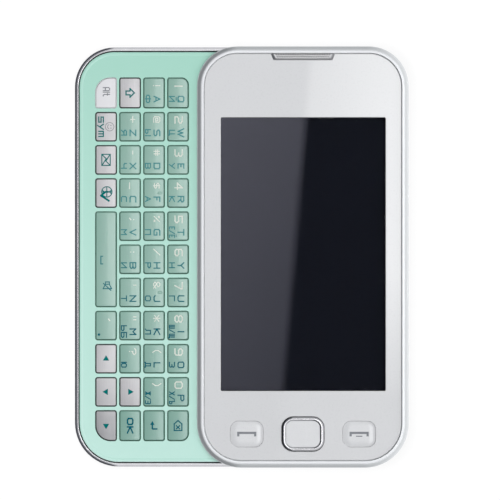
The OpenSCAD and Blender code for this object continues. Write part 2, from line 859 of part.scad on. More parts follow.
module slide_rail() {
    color("gray") translate([rail_x, 0, 0]) {
        difference() {
            translate([0, 0, base_top - rail_t])
                round_prism([rail_w, rail_length], even(rail_corner), rail_t);
            translate([0, 0, base_top - 2 * rail_t]) round_prism(
                [rail_w - 2 * rail_side, rail_length - 2 * rail_end], even(rail_corner), 3 * rail_t
            );
        }
        for (side = [-1, 1]) translate([0, side * runner_y, 0]) {
            translate([0, 0, base_top - rail_t / 2])
                round_bar(runner_length, runner_neck, head_z - base_top + rail_t);
            translate([0, 0, head_z])
                round_bar(runner_length + runner_head - runner_neck, runner_head, runner_head_t);
        }
    }
}

module slide_plate() {
    color("silver") in_screen() difference() {
        half_plate(plate_inset, screen_z, plate_t);
        for (side = [-1, 1]) translate([slot_x, side * runner_y, screen_z - overshoot])
            round_bar(slot_length, slot_w, plate_t + 2 * overshoot);
    }
}

// Plan of the earpiece notch, made smaller all round by a fit, and open past the rim by a reach
module notch_plan(fit, reach) {
    outer = edge_y - window_u;
    inner = outer - notch_depth + fit;
    polygon([
        [fit - notch_bottom / 2, inner], [notch_bottom / 2 - fit, inner],
        [notch_top / 2 - fit, outer], [notch_top / 2 - fit, outer + reach],
        [fit - notch_top / 2, outer + reach], [fit - notch_top / 2, outer]
    ]);
}

// Shelf that carries the contact domes of the front keys
module key_shelf() {
    shelf_end = display_shift - display_length / 2 - lap;
    translate([0, 0, tray_z]) linear_extrude(key_shelf_top - tray_z) intersection() {
        half_outline(pocket_u - lap / 2);
        translate([-edge_x, -edge_y]) square([body_width, edge_y + shelf_end]);
    }
    for (i = [-1 : 1]) translate([i * front_key_pitch, front_key_y, key_shelf_top]) contact_dome();
}

// Boss that carries the earpiece mesh
module earpiece_seat() {
    foot_y = edge_y - window_u - notch_depth - 4 * lap;
    translate([0, 0, tray_z]) linear_extrude(mesh_z - tray_z) notch_plan(window_groove, 0);
    block([-notch_bottom / 2, foot_y, tray_z], [notch_bottom / 2, edge_y - pocket_u + lap / 2, ledge_z]);
}

module screen_frame() {
    foot_break = side_inset;
    shoulder = [
        for (i = [0 : edge_steps])
            let (angle = 90 * i / edge_steps)
                [rim_shoulder_w * (1 - sin(angle)), screen_top - rim_shoulder_h * (1 - cos(angle))]
    ];
    color("white") in_screen() difference() {
        union() {
            around_half() polygon(concat(
                [
                    [foot_break, screen_z], [plate_seat_u, screen_z], [plate_seat_u, plate_top],
                    [pocket_u, plate_top], [pocket_u, tray_z], [sweep_reach, tray_z],
                    [sweep_reach, tray_top], [pocket_u, tray_top], [pocket_u, ledge_z],
                    [ledge_u, ledge_z], [ledge_u, window_z], [rim_w, window_z],
                    [rim_w, screen_top - window_groove], [rim_w - window_groove, screen_top]
                ],
                shoulder,
                [[0, screen_z + foot_break]]
            ));
            half_plate(sweep_reach - lap, tray_z, tray_t);
            key_shelf();
            earpiece_seat();
        }
        translate([0, edge_y - window_u - notch_depth / 2, tray_top])
            round_bar(notch_bottom - notch_depth, notch_depth / 2, screen_top);
    }
}

module front_window() {
    color("white") in_screen() difference() {
        union() {
            around_half() polygon([
                [window_u, window_z], [window_u, window_top - window_chamfer],
                [window_u + window_chamfer, window_top], [sweep_reach, window_top], [sweep_reach, window_z]
            ]);
            half_plate(sweep_reach - lap, window_z, window_t);
        }
        translate([0, 0, window_z - overshoot]) linear_extrude(window_t + 2 * overshoot) {
            notch_plan(0, lap);
            translate([0, front_key_y]) {
                round_rect(grown([home_w, home_length], key_gap), even(home_corner + key_gap));
                for (side = [-1, 1]) translate([side * front_key_pitch, 0]) round_rect(
                    grown([side_key_w, side_key_length], key_gap), even(side_key_corner + key_gap)
                );
            }
        }
    }
}

module display_module() {
    color([0.1, 0.1, 0.12]) in_screen() translate([0, display_shift, tray_top]) difference() {
        round_prism([display_w, display_length], even(lap), display_t);
        translate([0, 0, display_t - picture_step])
            round_prism([picture_w, picture_length], even(lap), picture_step + overshoot);
    }
}

module earpiece_mesh() {
    columns = floor((notch_bottom - 2 * mesh_pitch) / mesh_pitch);
    row_step = mesh_pitch * sin(60);
    color("gray") in_screen() translate([0, 0, mesh_z]) difference() {
        linear_extrude(mesh_t) notch_plan(window_groove, 0);
        for (row = [-1 : 1], i = [0 : columns - 1 + abs(row)]) translate([
            (i - (columns - 1 + abs(row)) / 2) * mesh_pitch,
            edge_y - window_u - notch_depth / 2 + row * row_step,
            -overshoot
        ]) cylinder(d = mesh_hole, h = mesh_t + 2 * overshoot, $fn = 6);
    }
}

// One key of the front, counted from the home key
module front_key(place) {
    size = place == 0 ? [home_w, home_length] : [side_key_w, side_key_length];
    corner = place == 0 ? home_corner : side_key_corner;
    translate([place * front_key_pitch, front_key_y, window_z])
        key_body(size, even(corner), even(corner + key_foot), window_t);
}

module call_key() {
    color("white") in_screen() front_key(-1);
}

module home_key() {
    pad = grown([home_w, home_length], -home_ring);
    pad_corner = home_corner - home_ring;
    color("silver") in_screen() difference() {
        front_key(0);
        translate([0, front_key_y, window_top - home_ring / 2]) linear_extrude(home_ring) difference() {
            round_rect(pad, even(pad_corner));
            round_rect(grown(pad, -home_groove), even(pad_corner - home_groove));
        }
    }
}

module end_key() {
    color("white") in_screen() front_key(1);
}

// Rocker on the base's left side, which turns a little on its round pivot
module volume_key() {
    half_h = rocker_h / 2;
    half_foot = rocker_length / 2 + key_foot;
    color("silver") translate([-edge_x, rocker_y, wall_middle]) {
        block(
            [-rocker_proud, -rocker_length / 2, -half_h],
            [rocker_foot_u + pivot_r, rocker_length / 2, half_h]
        );
        block([rocker_foot_u, -half_foot, -half_h], [rocker_foot_u + pivot_r, half_foot, half_h]);
        translate([rocker_foot_u, -pivot_r, -half_h]) cube([2 * pivot_r, 2 * pivot_r, rocker_h]);
        translate([rocker_pivot_u, 0, -half_h]) cylinder(r = pivot_r, h = rocker_h);
    }
}

rear_housing();
battery_cover();
mid_frame();
keyboard_deck();
main_board();
battery();
headset_jack();
camera_module();
slide_rail();
slide_plate();
screen_frame();
front_window();
display_module();
earpiece_mesh();
call_key();
home_key();
end_key();
volume_key();
for (key = keys) letter_key(key);
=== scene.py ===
"""Looks of a phone whose screen half slides sideways off a letter keyboard."""
import json
import math
from collections import namedtuple

import bmesh
import bpy
from mathutils import Matrix, Vector


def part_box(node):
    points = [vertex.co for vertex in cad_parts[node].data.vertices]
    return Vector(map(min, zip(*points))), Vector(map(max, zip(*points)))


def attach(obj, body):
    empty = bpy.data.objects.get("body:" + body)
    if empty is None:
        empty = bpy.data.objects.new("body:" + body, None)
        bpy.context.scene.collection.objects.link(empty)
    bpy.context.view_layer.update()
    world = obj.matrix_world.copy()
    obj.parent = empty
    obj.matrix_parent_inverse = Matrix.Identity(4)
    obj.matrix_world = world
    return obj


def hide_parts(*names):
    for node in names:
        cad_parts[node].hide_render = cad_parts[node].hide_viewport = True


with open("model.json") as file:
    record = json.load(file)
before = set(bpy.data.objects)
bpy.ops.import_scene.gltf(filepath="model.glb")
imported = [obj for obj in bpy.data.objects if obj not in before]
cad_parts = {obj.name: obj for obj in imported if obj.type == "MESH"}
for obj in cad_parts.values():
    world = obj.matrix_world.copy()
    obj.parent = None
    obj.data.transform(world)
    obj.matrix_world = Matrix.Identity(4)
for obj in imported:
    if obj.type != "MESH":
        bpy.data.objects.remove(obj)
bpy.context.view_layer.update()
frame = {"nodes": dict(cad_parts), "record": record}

# Shapes are drawn in millimetres, and become metres when they are made into pieces.
# A distance in from an outline ends in _u, and a tilt is one part of a face's normal.
MM = 0.001

# Tolerances
merge_gap = 0.001
cad_merge_gap = 0.002
cad_merge_angle = 0.5
level_gap = 0.003
flat_tilt = 0.9999
level_tilt = 0.98
upright_tilt = 0.2
sharp_angle = 35

# Corners of both halves, seen from the front, and steps of round shapes
corner_top = 10.4
corner_bottom = 11.5
corner_steps = 14
turn_steps = 48

# Keyboard keys
key_foot = 0.32
key_foot_t = 0.35
key_corner = 0.5
keyboard_corner_left = 3.8
keyboard_corner_right = 1.8
key_proud = 0.1
key_crown = 0.18
key_bevel = 0.26
crown_slices = 8
edge_tilt = 0.8
key_edge_index = 3
nib_size = (0.65, 0.4, 0.13)
nib_inset = 1.1

# Ink, with letters in columns and rows
ink_t = 0.03
stroke_step = 0.0008
stroke_layers = 16
column_of_cap = 0.232
rows_of_cap = 6
letter_gap = 0.16

# Screen half
display_opening = (42.85, 71.1)
display_opening_shift = (0.08, -0.05)
display_corner = 0.35
pane_gap = 0.03
pane_bevel = 0.06
side_tilt = 0.962
crest_tilt = 0.9995
opening_round = 0.12
rim_foot = [(0.4, 0), (0.12, 0.1), (0, 0.4)]
rim_crest_u = 1.5
rim_shoulder = (1.83, 1.53)
rim_chamfer_u = 1.68
rim_chamfer_h = 0.06
rim_inner_u = 1.75
rim_ledge_u = 2.6
rim_ledge_t = 0.9
rim_wall_u = 1.7
rim_step_u = 1.2
rim_step_h = 0.75

# Front keys
front_key_corner = 2.0
front_foot_corner = 2.3
cap_reach = 0.14
pillow_h = 0.38
pillow_slope = 1.05
home_corner = 2.9
home_foot_corner = 3.2
ring_w = 1.12
ring_crest = 0.65
ring_shoulder_h = 0.45
ring_inner_h = 0.3
ring_step_h = 0.6
ring_tilt = 0.3
pad_lap = 0.1
pad_corner = 1.9
pad_drop = 0.05
pad_round = 0.3

# Earpiece
notch_margin = 0.4
notch_reach = 9
notch_tilt = 0.3
notch_taper = 0.7
liner_w = 0.22
liner_end = 0.4
liner_drop = 0.2
liner_t = 0.05
liner_lift = 0.06
liner_tilt = 0.2
felt_corner = 0.2
felt_low = 0.6
felt_high = 0.05
felt_bevel = 0.04

# Base
band_foot = [(0.4, 0), (0.12, 0.12), (0, 0.4)]
band_visible_w = 1.02
band_shoulder_h = 0.45
band_round = 0.14
shelf_u = 2.4
shelf_t = 1.0
deck_wall_tilt = 0.3
deck_lip_u = 1.3
deck_lip_round = 0.3
deck_lip_w = 0.7
deck_lip_h = 0.2
deck_lip_root = 0.5
board_drop = 1.95
board_blend = 0.01
socket_y = 49.0
socket_blend = 0.1

# Camera on the back
lens_ring_r = 3.1
lens_ring = (0.34, 0.2)
barrel_r = 2.85
barrel_bore_r = 2.2
barrel_high = 0.2
barrel_face = -0.05
barrel_bore = 0.08
lens_r = 2.25
lens_dome = 0.2
lens_seat = 0.1

Box = namedtuple("Box", "low high middle size")
Outline = namedtuple("Outline", "x y width length top bottom")
Printing = namedtuple("Printing", "cap u v weight wide")


def box_mm(node):
    """A CAD node's box, in millimetres."""
    low, high = (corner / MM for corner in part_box(node))
    return Box(low, high, (low + high) / 2, high - low)


def outline_of(node, top, bottom):
    """A node's outline from the front, with its corner radii at both ends."""
    box = box_mm(node)
    return Outline(box.middle.x, box.middle.y, box.size.x, box.size.y, top, bottom)


def inset(outline, by):
    """The same outline a distance further in."""
    return Outline(outline.x, outline.y, outline.width - 2 * by, outline.length - 2 * by,
                   outline.top - by, outline.bottom - by)


base_half = outline_of("mid_frame", corner_top, corner_bottom)
screen_half = outline_of("screen_frame", corner_top, corner_bottom)
band_low = box_mm("mid_frame").low.z
band_high = box_mm("mid_frame").high.z
deck_top = band_high
deck_under = box_mm("keyboard_deck").low.z
window_under = box_mm("front_window").low.z
window_top = box_mm("front_window").high.z
rim_low = box_mm("screen_frame").low.z
rim_high = box_mm("screen_frame").high.z


# Materials

streak_mm = 0.12
streak_squeeze = 0.02
picture_dots_mm = 0.35
tracks_mm = 4


def srgb(red, green, blue):
    """Linear colour of an 8-bit one."""
    levels = [level / 255 for level in (red, green, blue)]
    linear = [x / 12.92 if x <= 0.04045 else ((x + 0.055) / 1.055) ** 2.4 for x in levels]
    return (*linear, 1.0)


def shaded(color, by):
    """A colour made lighter or darker."""
    return (*(min(1.0, channel * by) for channel in color[:3]), 1.0)


def new_finish(name, **sockets):
    """A material with these shader sockets set, named with _ for a space."""
    look = bpy.data.materials.new(name)
    look.use_nodes = True
    shader = look.node_tree.nodes["Principled BSDF"]
    for socket, value in sockets.items():
        shader.inputs[socket.replace("_", " ")].default_value = value
    return look


def link_or_set(socket, value):
    """Links a socket to an output, or sets it to a value."""
    if isinstance(value, bpy.types.NodeSocket):
        socket.id_data.links.new(value, socket)
    else:
        socket.default_value = value


def node_of(owner, kind, **inputs):
    """Adds a node to a material, a world or their tree, with inputs that are values or outputs to link."""
    tree = getattr(owner, "node_tree", owner)
    node = tree.nodes.new("ShaderNode" + kind)
    for name, value in inputs.items():
        link_or_set(node.inputs[name.replace("_", " ")], value)
    return node


def math_of(operation, *inputs, kind="Math"):
    """Result of a calculation with an output and other inputs."""
    node = node_of(inputs[0].id_data, kind)
    node.operation = operation
    for socket, value in zip(node.inputs, inputs):
        link_or_set(socket, value)
    return node.outputs["Value"]


def to_shader(output, socket):
    """Links an output to the material's shader."""
    tree = output.id_data
    tree.links.new(output, tree.nodes["Principled BSDF"].inputs[socket])


def paint(color):
    """Links a colour to the material's shader."""
    to_shader(color, "Base Color")


def place_on(look, stretch=(1, 1, 1)):
    """The piece's own coordinates in metres, stretched for a pattern."""
    coordinates = node_of(look, "TexCoord").outputs["Object"]
    return node_of(look, "Mapping", Vector=coordinates, Scale=stretch).outputs["Vector"]


def noise(look, size_mm, detail=2.0, stretch=(1, 1, 1)):
    """Noise whose patches are about this wide."""
    vector = place_on(look, stretch)
    pattern = node_of(look, "TexNoise", Vector=vector, Scale=1 / (size_mm * MM), Detail=detail)
    return pattern.outputs["Fac"]


def ramp(factor, low, high, start=0.3, end=0.7):
    """Colours from low to high along a factor."""
    tones = node_of(factor.id_data, "ValToRGB", Fac=factor)
    first, last = tones.color_ramp.elements
    first.position, first.color = start, low
    last.position, last.color = end, high
    return tones.outputs["Color"]


def range_of(factor, low, high, start=0.3, end=0.7):
    """Values from low to high along a factor."""
    mapped = node_of(factor.id_data, "MapRange", Value=factor, From_Min=start, From_Max=end, To_Min=low,
                     To_Max=high)
    return mapped.outputs["Result"]


def along(direction, axis):
    """How far a direction goes along an axis."""
    return math_of("DOT_PRODUCT", direction, axis, kind="VectorMath")


def up_phone(look, axis=(0, 1, 0)):
    """Distance towards the earpiece end, in metres."""
    return along(place_on(look), axis)


def facing(look, axis):
    """How far a face looks along an axis."""
    return along(node_of(look, "TexCoord").outputs["Normal"], axis)


def uneven(look, value, amount, size_mm, start, end):
    """0 to 1 along a value, made uneven by an amount of noise."""
    drift = math_of("MULTIPLY_ADD", noise(look, size_mm, 3.0), amount, value)
    return range_of(drift, 0, 1, start, end)


def blend(factor, first, second):
    """Colour between two colours, which are values or outputs."""
    mix = node_of(factor.id_data, "Mix", Factor=factor)
    mix.data_type = "RGBA"
    link_or_set(mix.inputs[6], first)
    link_or_set(mix.inputs[7], second)
    return mix.outputs[2]


def seen_rays(owner):
    """1 for what the camera sees straight, in metal or through glass, and 0 for soft light."""
    rays = node_of(owner, "LightPath").outputs
    direct = math_of("MAXIMUM", rays["Is Camera Ray"], rays["Is Glossy Ray"])
    return math_of("MAXIMUM", direct, rays["Is Transmission Ray"])


def surface(pattern, smoothest, roughest, depth_mm):
    """Uneven gloss and relief from one pattern."""
    to_shader(range_of(pattern, smoothest, roughest), "Roughness")
    bump = node_of(pattern.id_data, "Bump", Height=pattern, Strength=1.0, Distance=depth_mm * MM)
    to_shader(bump.outputs["Normal"], "Normal")


def two_tone(pattern, color, contrast):
    """A colour that a pattern makes a little lighter and darker."""
    paint(ramp(pattern, shaded(color, 1 - contrast), shaded(color, 1 + contrast)))


def moulded(name, color, roughness, cloud=0.05, cloud_mm=2, grain_mm=0.25, grain_depth=0.002, **sockets):
    """Moulded or painted plastic: faint clouds in its 8-bit colour, uneven gloss and a fine grain."""
    look = new_finish(name, **sockets)
    two_tone(noise(look, cloud_mm, 1.0), srgb(*color), cloud)
    surface(noise(look, grain_mm, 4.0), roughness * 0.8, roughness * 1.2, grain_depth)
    return look


def steel_brushed_across():
    """Steel with long streaks in its colour, gloss and relief."""
    look = new_finish("brushed_steel", Metallic=1.0)
    streaks = noise(look, streak_mm, 3.0, (streak_squeeze, 1, 1))
    two_tone(streaks, srgb(176, 178, 182), 0.08)
    surface(streaks, 0.238, 0.442, 0.003)
    return look


def pearl_white():
    """White lacquer with fine pearl flakes under a clear coat."""
    look = new_finish("pearl_white", Coat_Weight=0.5, Coat_Roughness=0.06, Specular_IOR_Level=0.4)
    flakes = noise(look, 0.15)
    paint(ramp(flakes, srgb(231, 233, 236), srgb(235, 237, 240)))
    surface(noise(look, 1.5), 0.26, 0.32, 0.0002)
    return look


def pearl_rim():
    """The same white on top, turning to a darker silver down the sides: partly a silver trim, partly
    painted shade on the sloping sides.
    """
    look = new_finish("pearl_rim", Roughness=0.3, Coat_Weight=0.3, Coat_Roughness=0.06,
                      Specular_IOR_Level=0.4)
    on_top = range_of(facing(look, (0, 0, 1)), 0, 1, side_tilt, crest_tilt)
    flakes = noise(look, 0.2)
    white = ramp(flakes, srgb(228, 230, 233), srgb(236, 238, 241))
    silver = ramp(flakes, srgb(210, 213, 215), srgb(220, 223, 225))
    # Painted shade: the sloping sides take a darker silver than the top.
    paint(blend(on_top, silver, white))
    to_shader(range_of(on_top, 0.7, 0.0, 0, 1), "Metallic")
    return look


def tinted_cap():
    """Tinted clear plastic with painted shade, darker towards each key's upper left corner and lighter
    towards its lower right, and darker on the lowest rows.
    """
    look = new_finish("tinted_plastic", Coat_Weight=0.4, Coat_Roughness=0.08)
    key_place = node_of(look, "TexCoord").outputs["UV"]
    # Painted shade: darker towards each key's upper left corner, lighter towards its lower right.
    tint = uneven(look, along(key_place, (0.62, -0.3, 0)), 0.25, 3.0, -0.12, 0.72)
    upper = ramp(tint, srgb(140, 177, 164), srgb(152, 185, 174), 0, 1)
    lower = ramp(tint, srgb(126, 166, 153), srgb(136, 173, 162), 0, 1)
    row = range_of(up_phone(look), 0, 1, -0.042, -0.012)
    paint(blend(row, lower, upper))
    surface(noise(look, 0.6, 4.0), 0.18, 0.26, 0.001)
    return look


def silver_cap():
    """Brushed silver that darkens towards the lower keys."""
    look = new_finish("silver_metal", Metallic=0.55)
    streaks = noise(look, streak_mm, 3.0, (1, streak_squeeze, 1))
    row = uneven(look, up_phone(look), 0.005, 4.0, -0.0435, -0.0285)
    lower = ramp(streaks, srgb(172, 172, 175), srgb(184, 184, 187))
    upper = ramp(streaks, srgb(212, 211, 213), srgb(224, 223, 225))
    paint(blend(row, lower, upper))
    surface(streaks, 0.35, 0.65, 0.003)
    return look


def mint_finish():
    """Mint plastic with a fine grain, with painted light: paler towards the lower end, and paler on faces
    that look towards the lower right.
    """
    look = new_finish("mint_plastic", Specular_IOR_Level=0.35)
    # Painted light: paler towards the lower end, and paler on faces that look towards the lower right.
    slope = math_of("ADD", up_phone(look, (0.15, 1, 0)), facing(look, (-0.16, 0.16, 0)))
    tone = uneven(look, slope, 0.012, 6.0, -0.09, 0.056)
    paint(ramp(tone, srgb(206, 240, 231), srgb(171, 219, 203), 0, 1))
    surface(noise(look, 0.3, 4.0), 0.34, 0.5, 0.003)
    return look


def key_edge(name, low, high):
    """Edge of a key in a darker colour, as painted shade in the gaps, and paler where it faces the earpiece
    end, as painted light.
    """
    look = new_finish(name, Roughness=0.4)
    # Painted light: faces towards the earpiece end are paler.
    tone = uneven(look, facing(look, (0, 1, 0)), 0.2, 1.0, -0.6, 0.8)
    paint(ramp(tone, low, high, 0, 1))
    return look


def fading_ink(name, lower, upper):
    """Printing ink, paler on the upper keys."""
    look = new_finish(name, Roughness=0.5, Specular_IOR_Level=0.05)
    row = uneven(look, up_phone(look), 0.004, 2.0, -0.016, 0.01)
    paint(ramp(row, lower, upper, 0, 1))
    return look


def display_dark():
    """Display that is off: near black, with its fine grid of picture dots."""
    look = new_finish("display_dark", Roughness=0.2, Specular_IOR_Level=0.0)
    grid = node_of(look, "TexBrick", Vector=place_on(look), Scale=1 / (picture_dots_mm * MM),
                   Color1=srgb(46, 50, 61), Color2=srgb(47, 51, 62), Mortar=srgb(37, 40, 49),
                   Mortar_Size=0.03, Brick_Width=0.17, Row_Height=0.5)
    grid.offset = 0.0
    paint(grid.outputs["Color"])
    return look


def clear_plastic(name, **sockets):
    """Polished pane or lens, with the faint smears that a finger leaves."""
    look = new_finish(name, **sockets)
    smears = noise(look, 7.0, 3.0, (1, 0.35, 1))
    to_shader(range_of(smears, 0.0, 0.012, 0.35, 0.75), "Roughness")
    return look


def circuit_board():
    """Green board with copper tracks, dark parts below and a steel socket at its end."""
    look = new_finish("circuit_board", Roughness=0.45)
    tracks = node_of(look, "TexBrick", Vector=place_on(look), Scale=1 / (tracks_mm * MM),
                     Color1=srgb(18, 74, 46), Color2=srgb(22, 84, 52), Mortar=srgb(52, 112, 66),
                     Mortar_Size=0.03)
    board_low = deck_under - board_drop
    height = node_of(look, "SeparateXYZ", Vector=place_on(look)).outputs["Z"]
    below = range_of(height, 1.0, 0.0, (board_low - board_blend) * MM, board_low * MM)
    color = blend(below, tracks.outputs["Color"], srgb(38, 38, 40))
    socket = range_of(up_phone(look), 0, 1, socket_y * MM, (socket_y + socket_blend) * MM)
    paint(blend(socket, color, srgb(176, 178, 182)))
    to_shader(socket, "Metallic")
    return look


white_lacquer = pearl_white()
white_top_silver_sides_painted_shade = pearl_rim()
panel_paint = moulded("panel_paint", (206, 207, 209), 0.3, cloud=0.008, cloud_mm=14, grain_mm=0.5,
                      grain_depth=0.0002, Coat_Weight=1.0, Coat_Roughness=0.0, Specular_IOR_Level=0.25)
notch_painted_shade = moulded("notch_painted_shade", (84, 86, 90), 0.35)
liner_grey = moulded("liner_grey", (160, 161, 164), 0.35)
clear_pane = clear_plastic("clear_pane", Base_Color=(0.9, 0.9, 0.92, 1), IOR=1.49, Transmission_Weight=1.0)
dark_display = display_dark()
bright_chrome = moulded("bright_chrome", (228, 228, 232), 0.1, cloud=0.04, cloud_mm=3, grain_mm=0.4,
                        grain_depth=0.0008, Metallic=1.0)
soft_chrome = moulded("soft_chrome", (208, 208, 212), 0.16, cloud=0.04, cloud_mm=3, Metallic=1.0)
chrome_painted_grey_reflection = moulded("chrome_painted_grey_reflection", (178, 179, 182), 0.16, cloud=0.04, cloud_mm=3, Metallic=1.0)
chrome_painted_dark_reflection = moulded("chrome_painted_dark_reflection", (112, 114, 118), 0.12, cloud=0.04, cloud_mm=3, Metallic=1.0)
mint_plastic = mint_finish()
tinted_plastic = tinted_cap()
# Darker edge colours: painted shade in the gaps round the keys.
green_edge_painted_shade = key_edge("green_edge_painted_shade", srgb(54, 96, 80), srgb(112, 158, 142))
dark_edge_painted_shade = key_edge("dark_edge_painted_shade", srgb(34, 40, 38), srgb(76, 88, 84))
silver_metal = silver_cap()
pale_cap = moulded("pale_cap", (226, 226, 229), 0.4, cloud=0.02, cloud_mm=4)
white_key = moulded("white_key", (210, 211, 213), 0.3, cloud=0.012, cloud_mm=5, Coat_Weight=0.3,
                    Coat_Roughness=0.05)
teal_ink = fading_ink("teal_ink", srgb(2, 92, 107), srgb(68, 135, 138))
green_ink = moulded("green_ink", (2, 110, 109), 0.5, cloud=0.06, Specular_IOR_Level=0.05)
white_ink = moulded("white_ink", (216, 222, 212), 0.5, cloud=0.04)
grey_ink = moulded("grey_ink", (126, 129, 134), 0.5)
brushed_steel = steel_brushed_across()
mesh_silver = moulded("mesh_silver", (214, 214, 216), 0.4, cloud_mm=1, Metallic=0.4)
black_plastic = moulded("black_plastic", (24, 24, 26), 0.45, cloud=0.1, grain_depth=0.004)
black_felt = moulded("black_felt", (12, 12, 13), 0.9, cloud=0.3, cloud_mm=0.3, grain_mm=0.06,
                     grain_depth=0.03)
lens_glass = clear_plastic("lens_glass", Base_Color=srgb(14, 16, 26), Coat_Weight=1.0, Coat_Roughness=0.02,
                           Coat_Tint=(0.75, 0.7, 1.0, 1))
battery_wrap = moulded("battery_wrap", (70, 72, 76), 0.4, cloud=0.06, cloud_mm=5)
green_board = circuit_board()


# Shapes

def only(parts, kind):
    """Those of one kind among a mesh's parts."""
    return [part for part in parts if isinstance(part, kind)]


def moved(shape, x, y, z=0.0):
    """A shape moved by a distance."""
    bmesh.ops.translate(shape, vec=(x, y, z), verts=shape.verts)
    return shape


def sized(shape, x, y, z):
    """A shape stretched along its axes."""
    bmesh.ops.scale(shape, vec=(x, y, z), verts=shape.verts)
    return shape


def rotated(shape, angle):
    """A shape turned about the upright axis."""
    bmesh.ops.rotate(shape, matrix=Matrix.Rotation(angle, 3, "Z"), verts=shape.verts)
    return shape


def bevelled(shape, parts, offset, steps, affect="EDGES"):
    """Rounds edges or corners of a shape."""
    bmesh.ops.bevel(shape, geom=parts, offset=offset, offset_type="OFFSET", affect=affect, segments=steps,
                    profile=0.5, material=-1, clamp_overlap=affect == "EDGES")


def sheet(width, length):
    """Flat rectangle round the origin."""
    shape = bmesh.new()
    bmesh.ops.create_grid(shape, x_segments=1, y_segments=1, size=0.5)
    return sized(shape, width, length, 1)


def thickened(shape, by):
    """Makes a flat shape solid, up to a height above it."""
    raised = bmesh.ops.extrude_face_region(shape, geom=list(shape.faces))["geom"]
    bmesh.ops.translate(shape, vec=(0, 0, by), verts=only(raised, bmesh.types.BMVert))
    bmesh.ops.recalc_face_normals(shape, faces=shape.faces)


def profile_line(shape, places, closed=False):
    """Adds the points of a profile and the edges between them."""
    verts = [shape.verts.new(place) for place in places]
    pairs = list(zip(verts, verts[1:]))
    if closed:
        pairs.append((verts[-1], verts[0]))
    return verts, [shape.edges.new(pair) for pair in pairs]


def welded(shape):
    """A shape with doubled points merged and its faces outward."""
    bmesh.ops.remove_doubles(shape, verts=shape.verts, dist=merge_gap)
    bmesh.ops.recalc_face_normals(shape, faces=shape.faces)
    return shape


def sweep_round(outline, profile):
    """Sweeps a closed profile of (distance in, height) once round an outline."""
    shape = bmesh.new()
    half_w, half_l = outline.width / 2, outline.length / 2
    top, bottom = outline.top, outline.bottom
    start = Vector((outline.x + half_w, outline.y - half_l + bottom, 0))
    verts, edges = profile_line(shape, [start + Vector((-u, 0, z)) for u, z in profile], True)
    side = outline.length - top - bottom
    turns = [
        ((0, side), (half_w - top, half_l - top)),
        ((2 * top - outline.width, 0), (top - half_w, half_l - top)),
        ((0, -side), (bottom - half_w, bottom - half_l)),
        ((outline.width - 2 * bottom, 0), (half_w - bottom, bottom - half_l)),
    ]
    for run, corner in turns:
        made = bmesh.ops.extrude_edge_only(shape, edges=edges)["geom"]
        verts = only(made, bmesh.types.BMVert)
        edges = [edge for edge in only(made, bmesh.types.BMEdge) if set(edge.verts) <= set(verts)]
        bmesh.ops.translate(shape, verts=verts, vec=(*run, 0))
        centre = (outline.x + corner[0], outline.y + corner[1], 0)
        last = bmesh.ops.spin(shape, geom=verts + edges, cent=centre, axis=(0, 0, 1), angle=math.pi / 2,
                              steps=corner_steps)["geom_last"]
        edges = only(last, bmesh.types.BMEdge)
    return welded(shape)


def turned(profile):
    """Turns a profile of (radius, height) once round the upright axis."""
    shape = bmesh.new()
    verts, edges = profile_line(shape, [(radius, 0, z) for radius, z in profile])
    bmesh.ops.spin(shape, geom=verts + edges, cent=(0, 0, 0), axis=(0, 0, 1), angle=2 * math.pi,
                   steps=turn_steps, use_merge=True)
    return welded(shape)


def arc(centre, radii, start, end, steps=8):
    """Points along part of an ellipse, with angles in degrees."""
    turns = [math.radians(start + (end - start) * i / steps) for i in range(steps + 1)]
    return [(centre[0] + radii[0] * math.cos(turn), centre[1] + radii[1] * math.sin(turn))
            for turn in turns]


def raised_by(height, points):
    """Points of a profile, raised to a height."""
    return [(u, height + z) for u, z in points]


def slab(size, radii, low, high, top_bevel=0.0, bevel_steps=3, place=(0, 0)):
    """Rounded plate. The radii start at the upper right corner and go round anticlockwise."""
    shape = sheet(*size)
    corners = list(shape.verts)
    signs = [(1, 1), (-1, 1), (-1, -1), (1, -1)]
    found = [next(v for v in corners if v.co.x * sx > 0 and v.co.y * sy > 0) for sx, sy in signs]
    for corner, radius in zip(found, radii):
        bevelled(shape, [corner], radius, max(3, round(4 * math.sqrt(radius) + 2)), "VERTICES")
    moved(shape, *place, low)
    thickened(shape, high - low)
    if top_bevel:
        rim = [edge for edge in shape.edges if all(abs(v.co.z - high) < merge_gap for v in edge.verts)]
        bevelled(shape, rim, top_bevel, bevel_steps)
    return shape


def cad_copy(node):
    """A CAD node's own solid, with its triangles merged into whole faces."""
    shape = bmesh.new()
    shape.from_mesh(frame["nodes"][node].data)
    sized(shape, 1 / MM, 1 / MM, 1 / MM)
    bmesh.ops.remove_doubles(shape, verts=shape.verts, dist=cad_merge_gap)
    bmesh.ops.dissolve_limit(shape, angle_limit=math.radians(cad_merge_angle), verts=shape.verts,
                             edges=shape.edges)
    for face in shape.faces:
        face.material_index = 0
    return shape


def round_openings(shape, level):
    """Rounds the edges where upright walls meet a flat face at this height."""
    edges = []
    for edge in shape.edges:
        if len(edge.link_faces) == 2 and all(abs(v.co.z - level) < level_gap for v in edge.verts):
            tilts = sorted(abs(face.normal.z) for face in edge.link_faces)
            if tilts[0] < upright_tilt and tilts[1] > level_tilt:
                edges.append(edge)
    bevelled(shape, edges, opening_round, 3)


def scene_object(name, data):
    """An object of the scene, at the origin."""
    made = bpy.data.objects.new(name, data)
    bpy.context.scene.collection.objects.link(made)
    return made


def bare_object(name, shape):
    """An object with a bmesh's mesh, at the origin."""
    mesh = bpy.data.meshes.new(name)
    shape.to_mesh(mesh)
    shape.free()
    return scene_object(name, mesh)


